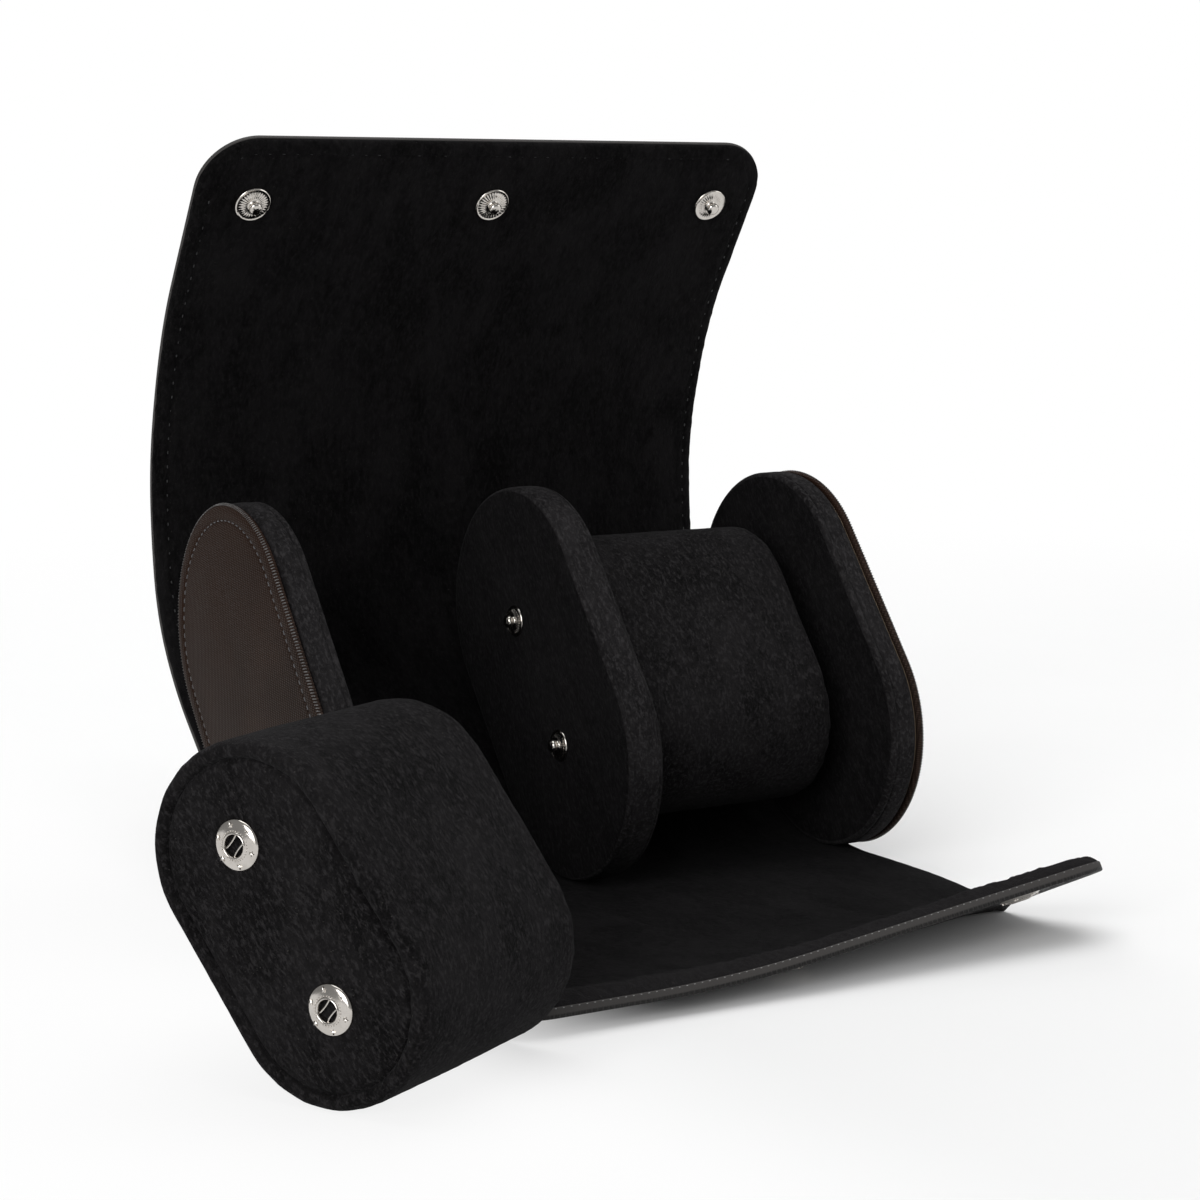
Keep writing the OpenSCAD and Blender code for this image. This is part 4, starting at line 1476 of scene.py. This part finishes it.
class TravelCaseStage(bpy.types.Operator):
    """Set up the pale floor, the soft lights and the camera"""
    bl_idname = "travel_case.stage"
    bl_label = "Stage"

    def execute(self, context):
        scene = context.scene
        scene.view_settings.view_transform = "Standard"
        self.add_floor()
        self.add_world(scene)
        for light in LIGHTS:
            self.add_light(*light)
        data = bpy.data.cameras.new("photo_view")
        data.lens, data.sensor_width, data.sensor_fit = CAMERA_LENS, 36, "HORIZONTAL"
        data.clip_start, data.clip_end = 0.02, 20
        camera = bpy.data.objects.new("photo_view", data)
        camera.location = CAMERA_AT
        camera.rotation_euler = (math.radians(CAMERA_PITCH), 0, math.radians(-CAMERA_YAW))
        context.collection.objects.link(camera)
        scene.camera = camera
        return {"FINISHED"}

    def add_floor(self):
        f = Finish("white_floor")
        camera = f.add("ShaderNodeLightPath")
        glossy = f.add("ShaderNodeLightPath", out=3)
        place = f.add("ShaderNodeTexCoord", out=3)
        away = f.add("ShaderNodeVectorMath", {"operation": "LENGTH"}, {0: place}, out=1)
        # Painted light: left of the case the floor shows up to 85 percent white glow to camera and
        # glossy rays, which lifts the loose cushion's shadow
        left = (f.axis(place, 0) * -1.0).step(0.03, 0.10) * 0.85
        seen = (camera + glossy).clamped() * away.step(0.30, 0.85).maths("MAXIMUM", left)
        noise = f.noise(place, 0.06, 2.0)
        colour = f.blend(noise, *FLOOR_COLOURS)
        diffuse = f.add("ShaderNodeBsdfDiffuse", None, {"Color": colour})
        white = f.add("ShaderNodeEmission", None, {"Color": (1, 1, 1, 1), "Strength": 1.0})
        f.output(f.add("ShaderNodeMixShader", None, {0: seen, 1: diffuse, 2: white}))
        mesh = bpy.data.meshes.new("floor")
        signs = ((-1, -1), (1, -1), (1, 1), (-1, 1))
        corners = [(x * FLOOR_SIZE, y * FLOOR_SIZE, 0) for x, y in signs]
        mesh.from_pydata(corners, [], [(0, 1, 2, 3)])
        mesh.materials.append(f.material)
        floor = bpy.data.objects.new("floor", mesh)
        bpy.context.collection.objects.link(floor)

    def add_world(self, scene):
        world = bpy.data.worlds.new("studio")
        world.use_nodes = True
        scene.world = world
        tree = world.node_tree
        tree.nodes.clear()
        path = tree.nodes.new("ShaderNodeLightPath")
        mix = tree.nodes.new("ShaderNodeMixShader")
        out = tree.nodes.new("ShaderNodeOutputWorld")
        tree.links.new(path.outputs["Is Camera Ray"], mix.inputs[0])
        for socket, strength in ((1, SOFT_LIGHT), (2, 1.0)):
            white = tree.nodes.new("ShaderNodeBackground")
            white.inputs["Color"].default_value = (1, 1, 1, 1)
            white.inputs["Strength"].default_value = strength
            tree.links.new(white.outputs[0], mix.inputs[socket])
        tree.links.new(mix.outputs[0], out.inputs["Surface"])

    def add_light(self, name, at, aim, size, power):
        data = bpy.data.lights.new(name, "AREA")
        data.shape, data.size, data.energy = "SQUARE", size, power
        light = bpy.data.objects.new(name, data)
        light.location = at
        way = np.array(aim, float) - np.array(at, float)
        flat = math.hypot(way[0], way[1])
        light.rotation_euler = (math.atan2(flat, -way[2]), 0, math.atan2(-way[0], way[1]))
        bpy.context.collection.objects.link(light)


# ---------------------------------------------------------------- the add-on

OPERATORS = (
    TravelCaseStage, TravelCaseWrapLeather, TravelCaseWrapLining, TravelCaseEndPanels,
    TravelCaseDivider, TravelCaseCushions, TravelCaseSnaps, TravelCaseCores,
)


class TRAVELCASE_PT_panel(bpy.types.Panel):
    bl_label = "Travel case"
    bl_space_type = "VIEW_3D"
    bl_region_type = "UI"
    bl_category = "Travel Case"

    def draw(self, context):
        scene = context.scene
        for group in (scene.travel_case_look, scene.travel_case_sizes):
            box = self.layout.box()
            for name in group.__annotations__:
                box.prop(group, name)
        for operator in OPERATORS:
            self.layout.operator(operator.bl_idname)


CLASSES = (TravelCaseLook, TravelCaseSizes, *OPERATORS, TRAVELCASE_PT_panel)


def register():
    for cls in CLASSES:
        bpy.utils.register_class(cls)
    bpy.types.Scene.travel_case_look = bpy.props.PointerProperty(type=TravelCaseLook)
    bpy.types.Scene.travel_case_sizes = bpy.props.PointerProperty(type=TravelCaseSizes)


def unregister():
    del bpy.types.Scene.travel_case_look
    del bpy.types.Scene.travel_case_sizes
    for cls in reversed(CLASSES):
        bpy.utils.unregister_class(cls)


def main():
    register()
    for operator in OPERATORS:
        group, name = operator.bl_idname.split(".")
        getattr(getattr(bpy.ops, group), name)()


if __name__ == "__main__":
    main()
